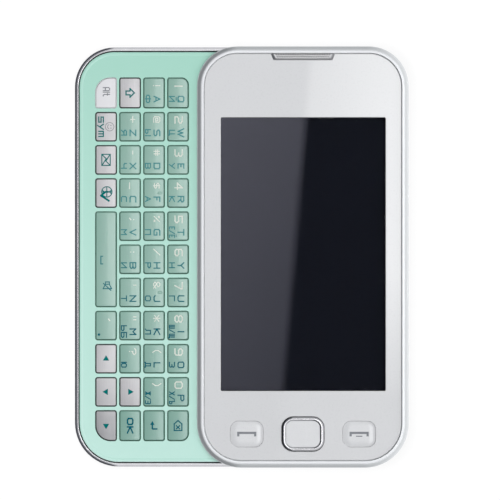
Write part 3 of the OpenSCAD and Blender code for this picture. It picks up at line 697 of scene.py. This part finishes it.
def cut_out(shape, cutter):
    """Takes the cutter's solid out of a shape."""
    body = bare_object("uncut", shape)
    tool = bare_object("cutter", cutter)
    cut = body.modifiers.new("cut", "BOOLEAN")
    cut.operation = "DIFFERENCE"
    cut.solver = "EXACT"
    cut.object = tool
    bpy.context.view_layer.update()
    mesh = bpy.data.meshes.new_from_object(body.evaluated_get(bpy.context.evaluated_depsgraph_get()))
    result = bmesh.new()
    result.from_mesh(mesh)
    for scrap in (body.data, tool.data, mesh):
        bpy.data.meshes.remove(scrap)
    return result


def join_in(shape, other, material_index=0):
    """Adds another shape to this one, in one of the piece's materials."""
    for face in other.faces:
        face.material_index = material_index
    mesh = bpy.data.meshes.new("joined")
    other.to_mesh(mesh)
    other.free()
    shape.from_mesh(mesh)
    bpy.data.meshes.remove(mesh)


def joined(*shapes):
    """Several shapes as one."""
    whole = bmesh.new()
    for shape in shapes:
        join_in(whole, shape)
    return whole


def piece(name, shape, body, materials, replaces=()):
    """Makes a shape in millimetres into a piece that rides on a body."""
    sized(shape, MM, MM, MM)
    for face in shape.faces:
        face.smooth = True
    made = bare_object(name, shape)
    made.data.set_sharp_from_angle(angle=math.radians(sharp_angle))
    for look in materials:
        made.data.materials.append(look)
    shading = made.modifiers.new("even_shading", "WEIGHTED_NORMAL")
    shading.keep_sharp = True
    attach(made, body)
    if replaces:
        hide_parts(*replaces)
    return made


def level_mirror(made):
    """Shades a piece's level faces flat, so that they mirror without bending."""
    for face in made.data.polygons:
        if face.normal.z > flat_tilt:
            face.use_smooth = False


def finish_node(node, look):
    """Gives a CAD node in view its material and smooth shading."""
    solid = frame["nodes"][node]
    solid.data.materials.clear()
    solid.data.materials.append(look)
    for face in solid.data.polygons:
        face.use_smooth = True
    weld = solid.modifiers.new("weld", "WELD")
    weld.merge_threshold = cad_merge_gap * MM
    split = solid.modifiers.new("sharp_edges", "EDGE_SPLIT")
    split.split_angle = math.radians(sharp_angle)


# Printed marks, drawn flat as they read: u along the line of text, v up the letters

def bar(start, end, width):
    """Straight stroke from one point to another."""
    run = Vector(end) - Vector(start)
    middle = (Vector(start) + Vector(end)) / 2
    shape = bmesh.new()
    bmesh.ops.create_cube(shape, size=1)
    sized(shape, run.length + width, width, ink_t)
    rotated(shape, math.atan2(run.y, run.x))
    return moved(shape, *middle)


def strokes(width, *lines):
    """Lines of points as one mark, each stroke a little above the last."""
    shape = bmesh.new()
    count = 0
    for points in lines:
        for start, end in zip(points, points[1:]):
            join_in(shape, moved(bar(start, end, width), 0, 0, stroke_step * (count % stroke_layers)))
            count += 1
    return shape


def lettering(text, printing):
    """Letters in strokes, centred on u, with their base line on v."""
    cap, u, v, weight, wide = printing
    column = column_of_cap * cap * wide
    row = (cap - weight) / rows_of_cap
    gap = letter_gap * cap * wide
    shape = bmesh.new()
    end = 0.0
    for letter in text.translate(SAME_SHAPE):
        lines = [[(int(c), int(r)) for c, r in line.split()] for line in GLYPHS[letter].split("/")]
        columns = [c for line in lines for c, r in line]
        start = end + weight / 2 - min(columns) * column
        placed = [[(start + c * column, v + weight / 2 + (r - 1) * row) for c, r in line] for line in lines]
        join_in(shape, strokes(weight, *placed))
        end = start + max(columns) * column + weight / 2 + gap
    return moved(shape, u - (end - gap) / 2, 0)


def disc(centre, radius, sides=24, turn=0.0):
    """Filled circle, or a triangle with its point turned this far from the line of text."""
    shape = bmesh.new()
    bmesh.ops.create_cone(shape, cap_ends=True, segments=sides, radius1=radius, radius2=radius, depth=ink_t)
    rotated(shape, math.radians(turn - 90))
    return moved(shape, *centre)


def shift_mark():
    return strokes(0.32, [(0, 1.15), (1.1, 0), (0.5, 0), (0.5, -1.05), (-0.5, -1.05), (-0.5, 0), (-1.1, 0),
                          (0, 1.15)])


def envelope_mark():
    return strokes(0.26, [(-1.45, -1.1), (1.45, -1.1), (1.45, 1.1), (-1.45, 1.1), (-1.45, -1.1)],
                   [(-1.35, 1.0), (0.3, -0.05), (1.35, 1.0)], [(-1.35, -1.0), (-0.3, 0.05), (1.35, -1.0)])


def globe_mark():
    globe = strokes(0.24, arc((-0.3, 0.2), (1.35, 1.35), 0, 360, 24), [(-1.5, 0.2), (0.9, 0.2)],
                    [(-0.3, -1.1), (-0.3, 1.5)], arc((-1.5, 0.2), (1.35, 1.35), -60, 60),
                    arc((0.9, 0.2), (1.35, 1.35), 120, 240))
    return joined(globe, strokes(0.5, [(-0.1, -0.4), (0.7, -1.3), (2.0, 0.7)]))


def smile_mark():
    face = strokes(0.13, arc((0, 0), (1.1, 1.1), 0, 360, 24), arc((0, 0.05), (0.6, 0.6), 205, 335))
    return joined(face, disc((-0.36, 0.32), 0.14, 10), disc((0.36, 0.32), 0.14, 10))


def space_mark():
    return strokes(0.28, [(-1.0, 0.2), (-1.0, -0.25), (1.0, -0.25), (1.0, 0.2)])


def mute_mark():
    bell = strokes(0.26, [(-1.0, 0.5), (-1.0, -0.5), (-0.4, -0.5), (0.75, -1.1), (0.75, 1.1), (-0.4, 0.5),
                          (-1.0, 0.5)], [(-0.4, 0.5), (-0.4, -0.5)])
    return joined(bell, strokes(0.26, [(1.2, 0.9), (-0.6, -1.0)]))


def enter_mark():
    hook = strokes(0.38, [(0.85, 0.7), (0.85, -0.25), (0.62, -0.45), (-0.4, -0.45)])
    return joined(hook, disc((-0.55, -0.45), 0.68, 3, 180))


def erase_mark():
    return strokes(0.3, [(-1.35, 0), (-0.45, 1.0), (1.25, 1.0), (1.25, -1.0), (-0.45, -1.0), (-1.35, 0)],
                   [(0.0, 0.42), (0.8, -0.42)], [(0.0, -0.42), (0.8, 0.42)])


def call_mark():
    return strokes(0.58, [(-2.2, -0.3), (-2.2, 0.32), (2.2, 0.32), (2.2, -0.3)])


def end_mark():
    return joined(call_mark(), bar((-0.7, -0.55), (0.7, -0.55), 0.28))


def table(text):
    """Rows of a text table, by their first word."""
    return dict(row.split(maxsplit=1) for row in text.strip().splitlines())


# Letters in strokes: points are a column and a row, with the base line on row 1 and capitals up to row 7

GLYPHS = table("""
0 06 17 37 46 42 31 11 02 06
1 27 21
2 07 37 46 45 34 14 03 01 41
3 07 37 46 45 34 24/34 43 42 31 01
4 31 37 03 43
5 47 07 04 34 43 42 31 01
6 47 17 06 02 11 31 42 43 34 04
7 07 47 46 21
8 14 05 06 17 37 46 45 34 14 03 02 11 31 42 43 34
9 44 14 05 06 17 37 46 42 31 01
A 01 27 41/13 33
B 01 07 37 46 45 34 04/34 43 42 31 01
C 47 17 06 02 11 41
D 01 07 37 46 42 31 01
E 37 07 01 31/04 24
F 37 07 01/04 24
G 47 17 06 02 11 41 44 24
H 07 01/47 41/04 44
I 27 21
J 47 42 31 11 02
K 07 01/47 04 41
L 07 01 31
M 01 07 24 47 41
N 01 07 41 47
P 01 07 37 46 45 34 04
Q 06 17 37 46 42 31 11 02 06/32 41
R 01 07 37 46 45 34 04/24 41
S 47 17 06 05 14 34 43 42 31 01
T 07 47/27 21
U 07 02 11 31 42 47
V 07 21 47
W 07 21 36 41 67
X 07 41/01 47
Y 07 24 47/24 21
Z 07 47 01 41
Й 07 01 47 41/19 39
Ц 07 01 41 40/37 31
У 07 24/47 11
Ё 37 07 01 31/04 24/09 09/29 29
Г 47 07 01
Ш 07 01 41 47/27 21
Щ 07 01 51 50/27 21/47 41
Ъ 07 17 11 31 42 43 34 14
Ь 07 01 31 42 43 34 04
Ф 37 31/16 56 65 63 52 12 03 05 16
Ы 07 01 21 32 33 24 04/57 51
П 01 07 47 41
Л 01 12 17 47 41
Д 00 01 41 40/11 17 37 31
Ж 27 21/07 24 47/01 24 41
Э 07 37 46 42 31 01/44 14
Я 41 47 17 06 05 14 44/24 01
Ч 07 05 14 44/47 41
И 07 01 47 41
Б 47 07 01 31 42 43 34 04
Ю 07 01/04 14/16 27 37 46 42 31 21 12 16
! 27 23/21 21
@ 33 35 15 13 43 46 37 17 06 02 11 41
# 17 11/37 31/05 45/03 43
$ 47 17 06 05 14 34 43 42 31 01/28 20
% 06 07 17 16 06/31 32 42 41 31/47 01
/ 47 01
& 41 05 06 17 27 36 35 03 02 11 21 43
* 27 21/06 42/46 02
( 37 25 23 31
) 17 25 23 11
+ 26 22/04 44
- 14 34
_ 01 41
; 25 25/22 11
: 25 25/22 22
' 27 25
" 17 15/37 35
? 06 17 37 46 45 34 24 23/21 21
, 22 11
a 01 06 17 37 46 41/03 43
l 27 21
t 27 22 31 41/15 35
s 45 05 03 43 41 01
y 05 22/45 10
m 01 05 45 41/25 21
""")
SAME_SHAPE = str.maketrans("КЕНХВАРОСМТЗO", "KEHXBAP0CMT30")

# Letter keys: symbol, second letters and first letter

LETTERS = table("""
q 1 Й Q
w 2 Ц W
e 3 У E
r 4 К R
t 5 Е/Ё T
y 6 Н Y
u 7 Г U
i 8 Ш/Щ I
o 9 З O
p 0 Х/Ъ P
a ! Ф A
s @ Ы S
d # В D
f $ А F
g % П G
h / Р H
j & О J
k * Л K
l ( Д L
bracket ) Ж/Э
z + Я Z
x - Ч X
c _ С C
v ; М V
b : И B
n ' Т N
m " ЬБ M
question ? Ю
""")
SILVER_KEYS = ("shift", "sym", "message", "web", "left", "down", "up", "right")
NIB_KEYS = ("f", "j")
ROUND_CORNERS = {
    "alt": (1, keyboard_corner_left), "right": (2, keyboard_corner_left),
    "q": (0, keyboard_corner_right), "backspace": (3, keyboard_corner_right),
}
ICONS = {"shift": shift_mark, "message": envelope_mark, "web": globe_mark, "enter": enter_mark,
         "backspace": erase_mark}
ARROW_TURNS = {"left": 180, "up": 90, "down": 270, "right": 0}
arrow_size = 0.95

# Printing on the keys: height of capitals, u of the middle, v of the base line, stroke weight, width.
# A symbol's v is its middle, and a few symbols have a height of their own.
digit_print = Printing(2.2, -1.77, -0.95, 0.32, 0.8)
symbol_print = Printing(1.85, -1.9, 0.7, 0.24, 0.88)
SYMBOL_CAPS = {"(": 2.4, ")": 2.4, "$": 1.45, "%": 1.6, "#": 1.6}
first_print = Printing(1.8, 1.6, -0.15, 0.3, 0.86)
second_print = Printing(1.58, 1.55, -2.38, 0.27, 0.86)
narrow_print = second_print._replace(weight=0.26, wide=0.52)
sym_print = Printing(2.1, 0, -2.05, 0.31, 0.68)
comma_print = Printing(1.7, -1.5, 0.55, 0.28, 1.0)
alt_print = Printing(1.9, -0.3, -0.85, 0.25, 0.45)
ok_print = Printing(1.75, 0, -0.85, 0.38, 0.95)
smile_place = (0, 0.95)
space_place = (0.2, -1.1)
mute_place = (6.9, 0.35)
full_stop_place = (2.35, -1.85)
full_stop_r = 0.32


def letter_legend(marks):
    """The marks of a letter key: a light symbol and dark letters."""
    symbol, second, *first = marks.split()
    printing = digit_print
    if not symbol.isdigit():
        cap = SYMBOL_CAPS.get(symbol, symbol_print.cap)
        printing = symbol_print._replace(cap=cap, v=symbol_print.v - cap / 2)
    letters = [lettering(letter, first_print) for letter in first]
    letters.append(lettering(second, narrow_print if len(second) > 2 else second_print))
    return lettering(symbol, printing), joined(*letters)


def key_legend(name):
    """Light and dark marks of a key."""
    if name in LETTERS:
        return letter_legend(LETTERS[name])
    if name == "sym":
        return moved(smile_mark(), *smile_place), lettering("sym", sym_print)
    if name == "comma":
        return lettering(",", comma_print), disc(full_stop_place, full_stop_r)
    if name == "space":
        dark = joined(moved(space_mark(), *space_place), moved(mute_mark(), *mute_place))
    elif name == "alt":
        dark = lettering("alt", alt_print)
    elif name == "ok":
        dark = lettering("OK", ok_print)
    elif name in ICONS:
        dark = ICONS[name]()
    else:
        dark = disc((0, 0), arrow_size, 3, ARROW_TURNS[name])
    return bmesh.new(), dark


def key_inks(name):
    """Cap, light mark, dark mark and edge of a key."""
    if name == "alt":
        return [pale_cap, white_ink, grey_ink, pale_cap]
    if name in SILVER_KEYS:
        return [silver_metal, grey_ink, green_ink, dark_edge_painted_shade]
    return [tinted_plastic, white_ink, teal_ink, green_edge_painted_shade]


def crowned(shape, width, under):
    """Bends everything above a height down towards a key's long sides."""
    for vert in shape.verts:
        if vert.co.z > under:
            vert.co.z -= key_crown * (2 * vert.co.x / width) ** 2
    bmesh.ops.recalc_face_normals(shape, faces=shape.faces)


def sliced(shape, width):
    """Cuts a cap into lengthwise strips, so that it can take a crown."""
    for i in range(1, crown_slices):
        parts = list(shape.verts) + list(shape.edges) + list(shape.faces)
        across = (i / crown_slices - 0.5) * width
        bmesh.ops.bisect_plane(shape, geom=parts, plane_co=(across, 0, 0), plane_no=(1, 0, 0))


def keyboard_key(name):
    """One key of the keyboard: crowned cap, foot under the deck, and its marks."""
    node = "key_" + name
    box = box_mm(node)
    low = box.low.z
    width, length = box.size.x - 2 * key_foot, box.size.y - 2 * key_foot
    top = deck_top + key_proud
    radii = [key_corner] * 4
    if name in ROUND_CORNERS:
        corner, radius = ROUND_CORNERS[name]
        radii[corner] = radius
    cap = slab((width, length), radii, low + key_foot_t / 2, top, key_bevel)
    # Painted shade: the cap's steep faces, and later its foot, take the darker edge colour of the shaded
    # gaps.
    for face in cap.faces:
        face.material_index = key_edge_index if face.normal.z < edge_tilt else 0
    sliced(cap, width)
    place_uv = cap.loops.layers.uv.new("key_place")
    for face in cap.faces:
        for loop in face.loops:
            loop[place_uv].uv = (loop.vert.co.x / width + 0.5, loop.vert.co.y / length + 0.5)
    for index, marks in enumerate(key_legend(name), 1):
        rotated(marks, -math.pi / 2)
        moved(marks, 0, 0, top)
        sliced(marks, width)
        join_in(cap, marks, index)
    if name in NIB_KEYS:
        nib = bmesh.new()
        bmesh.ops.create_uvsphere(nib, u_segments=20, v_segments=10, radius=1)
        sized(nib, *nib_size)
        join_in(cap, moved(nib, width / 2 - nib_inset, 0, top))
    crowned(cap, width, deck_top - key_bevel)
    foot_radii = [radius + key_foot for radius in radii]
    join_in(cap, slab(box.size.xy, foot_radii, low, low + key_foot_t), key_edge_index)
    moved(cap, *box.middle.xy)
    piece("keycap_" + name, cap, node, key_inks(name), [node])


# Pieces of the screen half

def screen_rim():
    """White rim round the front, with its rounded shoulder."""
    shoulder_w, shoulder_h = rim_shoulder
    shoulder = arc((rim_crest_u, rim_high - shoulder_h), (shoulder_w, shoulder_h), 145, 90, 14)
    inner = [(rim_chamfer_u, rim_high), (rim_inner_u, rim_high - rim_chamfer_h),
             (rim_inner_u, window_under)]
    ledge = [(rim_ledge_u, window_under), (rim_ledge_u, window_under - rim_ledge_t),
             (rim_wall_u, window_under - rim_ledge_t)]
    step_top = rim_low + rim_step_h
    step = [(rim_wall_u, step_top), (rim_step_u, step_top), (rim_step_u, rim_low)]
    rim = sweep_round(screen_half, raised_by(rim_low, rim_foot) + shoulder + inner + ledge + step)
    piece("screen_rim", rim, "screen", [white_top_silver_sides_painted_shade], ["screen_frame"])


def display_place():
    """Middle of the opening for the display."""
    return box_mm("display_module").middle.xy + Vector(display_opening_shift)


def front_panel():
    """White painted window with openings for the display, the keys and the earpiece."""
    opening = slab(display_opening, [display_corner] * 4, window_under - 1, window_top + 1,
                   place=display_place())
    panel = cut_out(cad_copy("front_window"), opening)
    round_openings(panel, window_top)
    # Painted shade: the notch's left wall, which faces right, is painted dark grey.
    notch_low = box_mm("earpiece_mesh").low.y - notch_margin
    for face in panel.faces:
        place = face.calc_center_median()
        in_notch = place.y > notch_low and abs(place.x - screen_half.x) < notch_reach
        face.material_index = 1 if in_notch and face.normal.x > notch_tilt else 0
    made = piece("front_panel", panel, "screen", [panel_paint, notch_painted_shade], ["front_window"])
    level_mirror(made)


def display_pane():
    """Clear pane over the display, set in the painted window."""
    size = [side - 2 * pane_gap for side in display_opening]
    pane = slab(size, [display_corner] * 4, window_under, window_top - pane_gap, pane_bevel, 2,
                display_place())
    level_mirror(piece("display_pane", pane, "screen", [clear_pane]))


def earpiece_felt():
    """Dark felt behind the earpiece mesh."""
    mesh = box_mm("earpiece_mesh")
    under = mesh.low.z
    felt = slab(mesh.size.xy, [felt_corner] * 4, under - felt_low, under - felt_high, felt_bevel, 2,
                mesh.middle.xy)
    piece("earpiece_felt", felt, "screen", [black_felt])


def earpiece_liner():
    """Grey sloping frame between the painted window and the earpiece mesh, its left slope painted dark as
    shade.
    """
    mesh = box_mm("earpiece_mesh")
    liner = sheet(*mesh.size.xy)
    for vert in liner.verts:
        if vert.co.y < 0:
            vert.co.x -= math.copysign(notch_taper, vert.co.x)
    frame_faces = bmesh.ops.inset_region(liner, faces=list(liner.faces), thickness=liner_w,
                                         use_boundary=True)["faces"]
    hole = [face for face in liner.faces if face not in frame_faces]
    bmesh.ops.delete(liner, geom=hole, context="FACES")
    for vert in liner.verts:
        if abs(vert.co.y) < mesh.size.y / 2 - merge_gap:
            vert.co.x -= math.copysign(liner_end, vert.co.x)
            vert.co.z -= liner_drop
    thickened(liner, -liner_t)
    moved(liner, *mesh.middle.xy, mesh.high.z + liner_drop + liner_lift)
    # Painted shade: the slope that faces right is dark grey.
    for face in liner.faces:
        face.material_index = 0 if face.normal.x > liner_tilt else 1
    piece("earpiece_liner", liner, "screen", [notch_painted_shade, liner_grey])


def pillow(size, radius, low, rim, top):
    """Cap with a flat middle and soft slopes down to its rim all round."""
    shape = slab(size, [radius] * 4, low, rim)
    crest = max(shape.faces, key=lambda face: face.calc_center_median().z)
    bmesh.ops.inset_region(shape, faces=[crest], thickness=pillow_slope, depth=top - rim)
    levels = [edge for edge in shape.edges if all(vert.co.z > top - merge_gap for vert in edge.verts)]
    bevelled(shape, levels, pillow_slope * 0.5, 4)
    return shape


def front_key(name, mark):
    """Call or end key: a pillow-shaped cap with its mark."""
    node = name + "_key"
    low, high, middle, size = box_mm(node)
    overlap = 2 * (key_foot - cap_reach)
    cap = pillow((size.x - overlap, size.y - overlap), front_key_corner + cap_reach, low.z + key_foot_t / 2,
                 high.z - pillow_h, high.z)
    join_in(cap, moved(mark, 0, 0, high.z), 1)
    join_in(cap, slab(size.xy, [front_foot_corner] * 4, low.z, low.z + key_foot_t))
    moved(cap, *middle.xy)
    piece(name + "_cap", cap, name, [white_key, grey_ink], [node])


def home_key():
    """Home key: a chrome ring round a white pad, its chrome painted with reflections: dark on faces looking
    left, grey on faces looking up or down.
    """
    low, high, middle, size = box_mm("home_key")
    foot_top = low.z + key_foot_t
    key_outline = outline_of("home_key", home_corner + key_foot, home_corner + key_foot)
    ring_outline = inset(key_outline, key_foot - cap_reach)
    outside = arc((ring_crest, high.z - ring_shoulder_h), (ring_crest, ring_shoulder_h), 172, 90, 8)
    inside = arc((ring_crest, high.z - ring_inner_h), (ring_w - ring_crest, ring_inner_h), 80, 8, 6)
    wall = [(ring_w, high.z - ring_step_h), (ring_w, foot_top)]
    ring = sweep_round(ring_outline, [(0, foot_top)] + outside + inside + wall)
    # Painted reflection: dark chrome on left-facing faces, grey chrome on faces looking up or down.
    for face in ring.faces:
        if face.normal.x < -ring_tilt:
            face.material_index = 2
        elif abs(face.normal.y) > ring_tilt:
            face.material_index = 3
    pad_outline = inset(ring_outline, ring_w - pad_lap)
    pad = slab((pad_outline.width, pad_outline.length), [pad_corner] * 4, foot_top, high.z - pad_drop,
               pad_round, 5, middle.xy)
    join_in(ring, pad, 1)
    join_in(ring, slab(size.xy, [home_foot_corner] * 4, low.z, foot_top, place=middle.xy), 1)
    finishes = [soft_chrome, white_key, chrome_painted_dark_reflection, chrome_painted_grey_reflection]
    piece("home_cap", ring, "home", finishes, ["home_key"])


# Pieces of the base

def chrome_band():
    """Chrome band round the base, and the shelf inside it that carries the deck."""
    crest = band_visible_w - band_round
    shoulder = arc((crest, band_high - band_shoulder_h), (crest, band_shoulder_h), 172, 90, 10)
    inner = arc((crest, band_high - band_round), (band_round, band_round), 75, 0, 5)
    profile = raised_by(band_low, band_foot) + shoulder + inner + [(band_visible_w, band_low)]
    shelf = [(band_visible_w, deck_under), (shelf_u, deck_under), (shelf_u, deck_under - shelf_t),
             (band_visible_w, deck_under - shelf_t)]
    band = sweep_round(base_half, profile)
    join_in(band, sweep_round(base_half, shelf), 1)
    piece("chrome_band", band, "base", [bright_chrome, black_plastic], ["mid_frame"])


def mint_deck():
    """Keyboard deck, with the edges of its key openings rounded and a lip along its edge."""
    deck = cad_copy("keyboard_deck")
    round_openings(deck, deck_top)
    # Painted shade: the walls of the key openings take the darker edge colour.
    for face in deck.faces:
        face.material_index = 1 if abs(face.normal.z) < deck_wall_tilt else 0
    crest = deck_lip_u + deck_lip_round
    outer = arc((crest, deck_top), (deck_lip_round, deck_lip_h), 180, 90, 5)
    slope = arc((crest, deck_top), (deck_lip_w, deck_lip_h), 80, 0, 6)
    root = [(crest + deck_lip_w, deck_top - deck_lip_root), (deck_lip_u, deck_top - deck_lip_root)]
    join_in(deck, sweep_round(base_half, outer + slope + root))
    piece("mint_deck", deck, "base", [mint_plastic, green_edge_painted_shade], ["keyboard_deck"])


def camera_lens():
    """Chrome ring, stepped barrel and domed glass in front of the camera."""
    camera = box_mm("camera_module")
    rear = camera.low.z
    ring = turned(arc((lens_ring_r, rear), lens_ring, 0, 360, 20))
    barrel = turned(raised_by(rear, [
        (barrel_r, barrel_high), (barrel_r, barrel_face), (barrel_bore_r, barrel_bore),
        (barrel_bore_r, barrel_high), (barrel_r, barrel_high)]))
    seat = rear + lens_seat
    glass = turned([(0, seat)] + arc((0, seat), (lens_r, lens_dome), 0, -90, 10))
    join_in(ring, barrel, 1)
    join_in(ring, glass, 2)
    moved(ring, *camera.middle.xy)
    piece("camera_lens", ring, "base", [bright_chrome, black_plastic, lens_glass])


# Stage, lights and camera. Light is linear, and directions are parts of a unit vector.

floor_size = 3.0
floor_tone = (0.13, 0.13, 0.13, 1)
floor_glow = (0.6, 0.9)
left_light = ((0.06, 0.065, 0.075, 1), (0.36, 0.36, 0.38, 1))
left_heights = (0.78, 0.99)
left_edge = (-0.12, -0.025)
middle_light = ((0.62, 0.62, 0.63, 1), (0.95, 0.95, 0.95, 1))
middle_heights = (0.5, 0.93)
right_light = ((1, 1, 1, 1), (0.85, 0.85, 0.85, 1))
right_heights = (0.3, 0.6)
right_edge = (0.25, 0.6)
card_light = ((0.44, 0.44, 0.54, 1), (1.08, 1.08, 1.3, 1))
card_side = (1, -0.0846, 0)
card_edge = (0.00694, 0.00854)
card_slant = (-10, 7.4, 0)
card_reach = (-0.3, 0.3)
card_in_softbox = (0.9, 0.9, 0.9, 1)
flag_black = (0.02, 0.02, 0.026, 1)
flag_across = (0.0093, 0.0144)
flag_up = (-0.0007, 0.0238)
softbox_light = ((0.2, 0.2, 0.2, 1), (5.5, 5.5, 5.4, 1))
softbox_reach = (-0.01, 0.03)
softbox_rise = (0.1, 0.8)
softbox_across = (0.04, 0.0495)
softbox_up = (0.0, 0.045)
lower_dark = (0.1, 0.1, 0.1, 1)
lower_share = 0.85
lower_edge = (-0.026, -0.004)
soft_light = (0.2, 0.205, 0.215, 1)
sensor_mm = 36
focal_mm = 413
camera_place = (0.01825, 0.00183, 1.505)


def studio_floor():
    """Pale floor that stays white to the camera and keeps the object's shadow."""
    floor = bmesh.new()
    bmesh.ops.create_grid(floor, x_segments=1, y_segments=1, size=floor_size)
    made = bare_object("studio_floor", floor)
    look = new_finish("floor_white", Base_Color=floor_tone, Roughness=0.9, Specular_IOR_Level=0.0,
                      Emission_Color=(1, 1, 1, 1))
    to_shader(range_of(seen_rays(look), *floor_glow, 0.0, 1.0), "Emission Strength")
    made.data.materials.append(look)


def window_in(split, across, up):
    """1 inside a rectangle overhead, given by its middles and reaches, and 0 beyond."""
    columns = math_of("COMPARE", split.outputs["X"], *across)
    rows = math_of("COMPARE", split.outputs["Y"], *up)
    return math_of("MINIMUM", columns, rows)


def studio_world():
    """Surroundings bright on the right and dark on the left, with a softbox, flag and card overhead."""
    world = bpy.data.worlds.new("studio_world")
    bpy.context.scene.world = world
    world.use_nodes = True
    direction = node_of(world, "TexCoord").outputs["Generated"]
    split = node_of(world, "SeparateXYZ", Vector=direction)
    across, up, height = (split.outputs[axis] for axis in "XYZ")
    left = ramp(height, *left_light, *left_heights)
    middle = ramp(height, *middle_light, *middle_heights)
    right = ramp(height, *right_light, *right_heights)
    around = blend(range_of(across, 0, 1, *left_edge), left, middle)
    around = blend(range_of(across, 0, 1, *right_edge), around, right)
    beside_card = along(direction, card_side)
    on_card = range_of(beside_card, 1, 0, *card_edge)
    slant = range_of(along(direction, card_slant), 0, 1, *card_reach)
    flag = blend(on_card, flag_black, ramp(slant, *card_light, 0, 1))
    away = range_of(beside_card, 0, 1, *softbox_reach)
    softbox = ramp(away, *softbox_light, *softbox_rise)
    softbox = blend(on_card, softbox, card_in_softbox)
    softbox = blend(range_of(up, lower_share, 0, *lower_edge), softbox, lower_dark)
    overhead = blend(window_in(split, flag_across, flag_up), softbox, flag)
    studio = blend(window_in(split, softbox_across, softbox_up), around, overhead)
    light = blend(seen_rays(world), soft_light, studio)
    world.node_tree.links.new(light, world.node_tree.nodes["Background"].inputs["Color"])


def area_lamp(name, place, aim, size, power, mirrored):
    """Soft lamp at a place, facing its aim, mirrored in gloss or not."""
    lamp = bpy.data.lights.new(name, "AREA")
    lamp.shape = "RECTANGLE"
    lamp.size, lamp.size_y = size
    lamp.energy = power
    made = scene_object(name, lamp)
    made.location = place
    back = Vector(place) - Vector(aim)
    made.rotation_euler = (-math.asin(back.y / back.length), math.atan2(back.x, back.z), 0)
    made.visible_camera = False
    made.visible_glossy = mirrored
    made.visible_transmission = mirrored


def photo_camera():
    """Camera straight above the phone, framed as in the photo."""
    lens = bpy.data.cameras.new("photo_camera")
    lens.sensor_width = sensor_mm
    lens.lens = focal_mm
    made = scene_object("photo_camera", lens)
    made.location = camera_place
    bpy.context.scene.camera = made


# The phone

screen_rim()
front_panel()
display_pane()
earpiece_felt()
earpiece_liner()
front_key("call", call_mark())
front_key("end", end_mark())
home_key()
chrome_band()
mint_deck()
for body in frame["record"]["behaviour"]["bodies"]:
    if body.startswith("key_"):
        keyboard_key(body.removeprefix("key_"))
camera_lens()

CAD_FINISHES = {
    "display_module": dark_display, "earpiece_mesh": mesh_silver, "slide_plate": brushed_steel,
    "slide_rail": brushed_steel, "rear_housing": white_lacquer, "battery_cover": white_lacquer,
    "volume_key": bright_chrome, "headset_jack": black_plastic, "camera_module": black_plastic,
    "main_board": green_board, "battery": battery_wrap,
}
for node_name, node_finish in CAD_FINISHES.items():
    finish_node(node_name, node_finish)

studio_floor()
studio_world()
area_lamp("overhead_light", (-0.02, 0.0, 0.45), (0.01, 0, 0), (0.12, 0.12), 1.42, mirrored=False)
area_lamp("right_fill", (0.6, 0.0, 0.055), (0.05, 0, 0.015), (0.06, 0.3), 3.4, mirrored=False)
area_lamp("right_softbox", (0.25, 0.0, 1.2), (0.02, 0, 0), (0.25, 0.4), 0.9, mirrored=True)
photo_camera()
bpy.context.scene.view_settings.view_transform = "Standard"
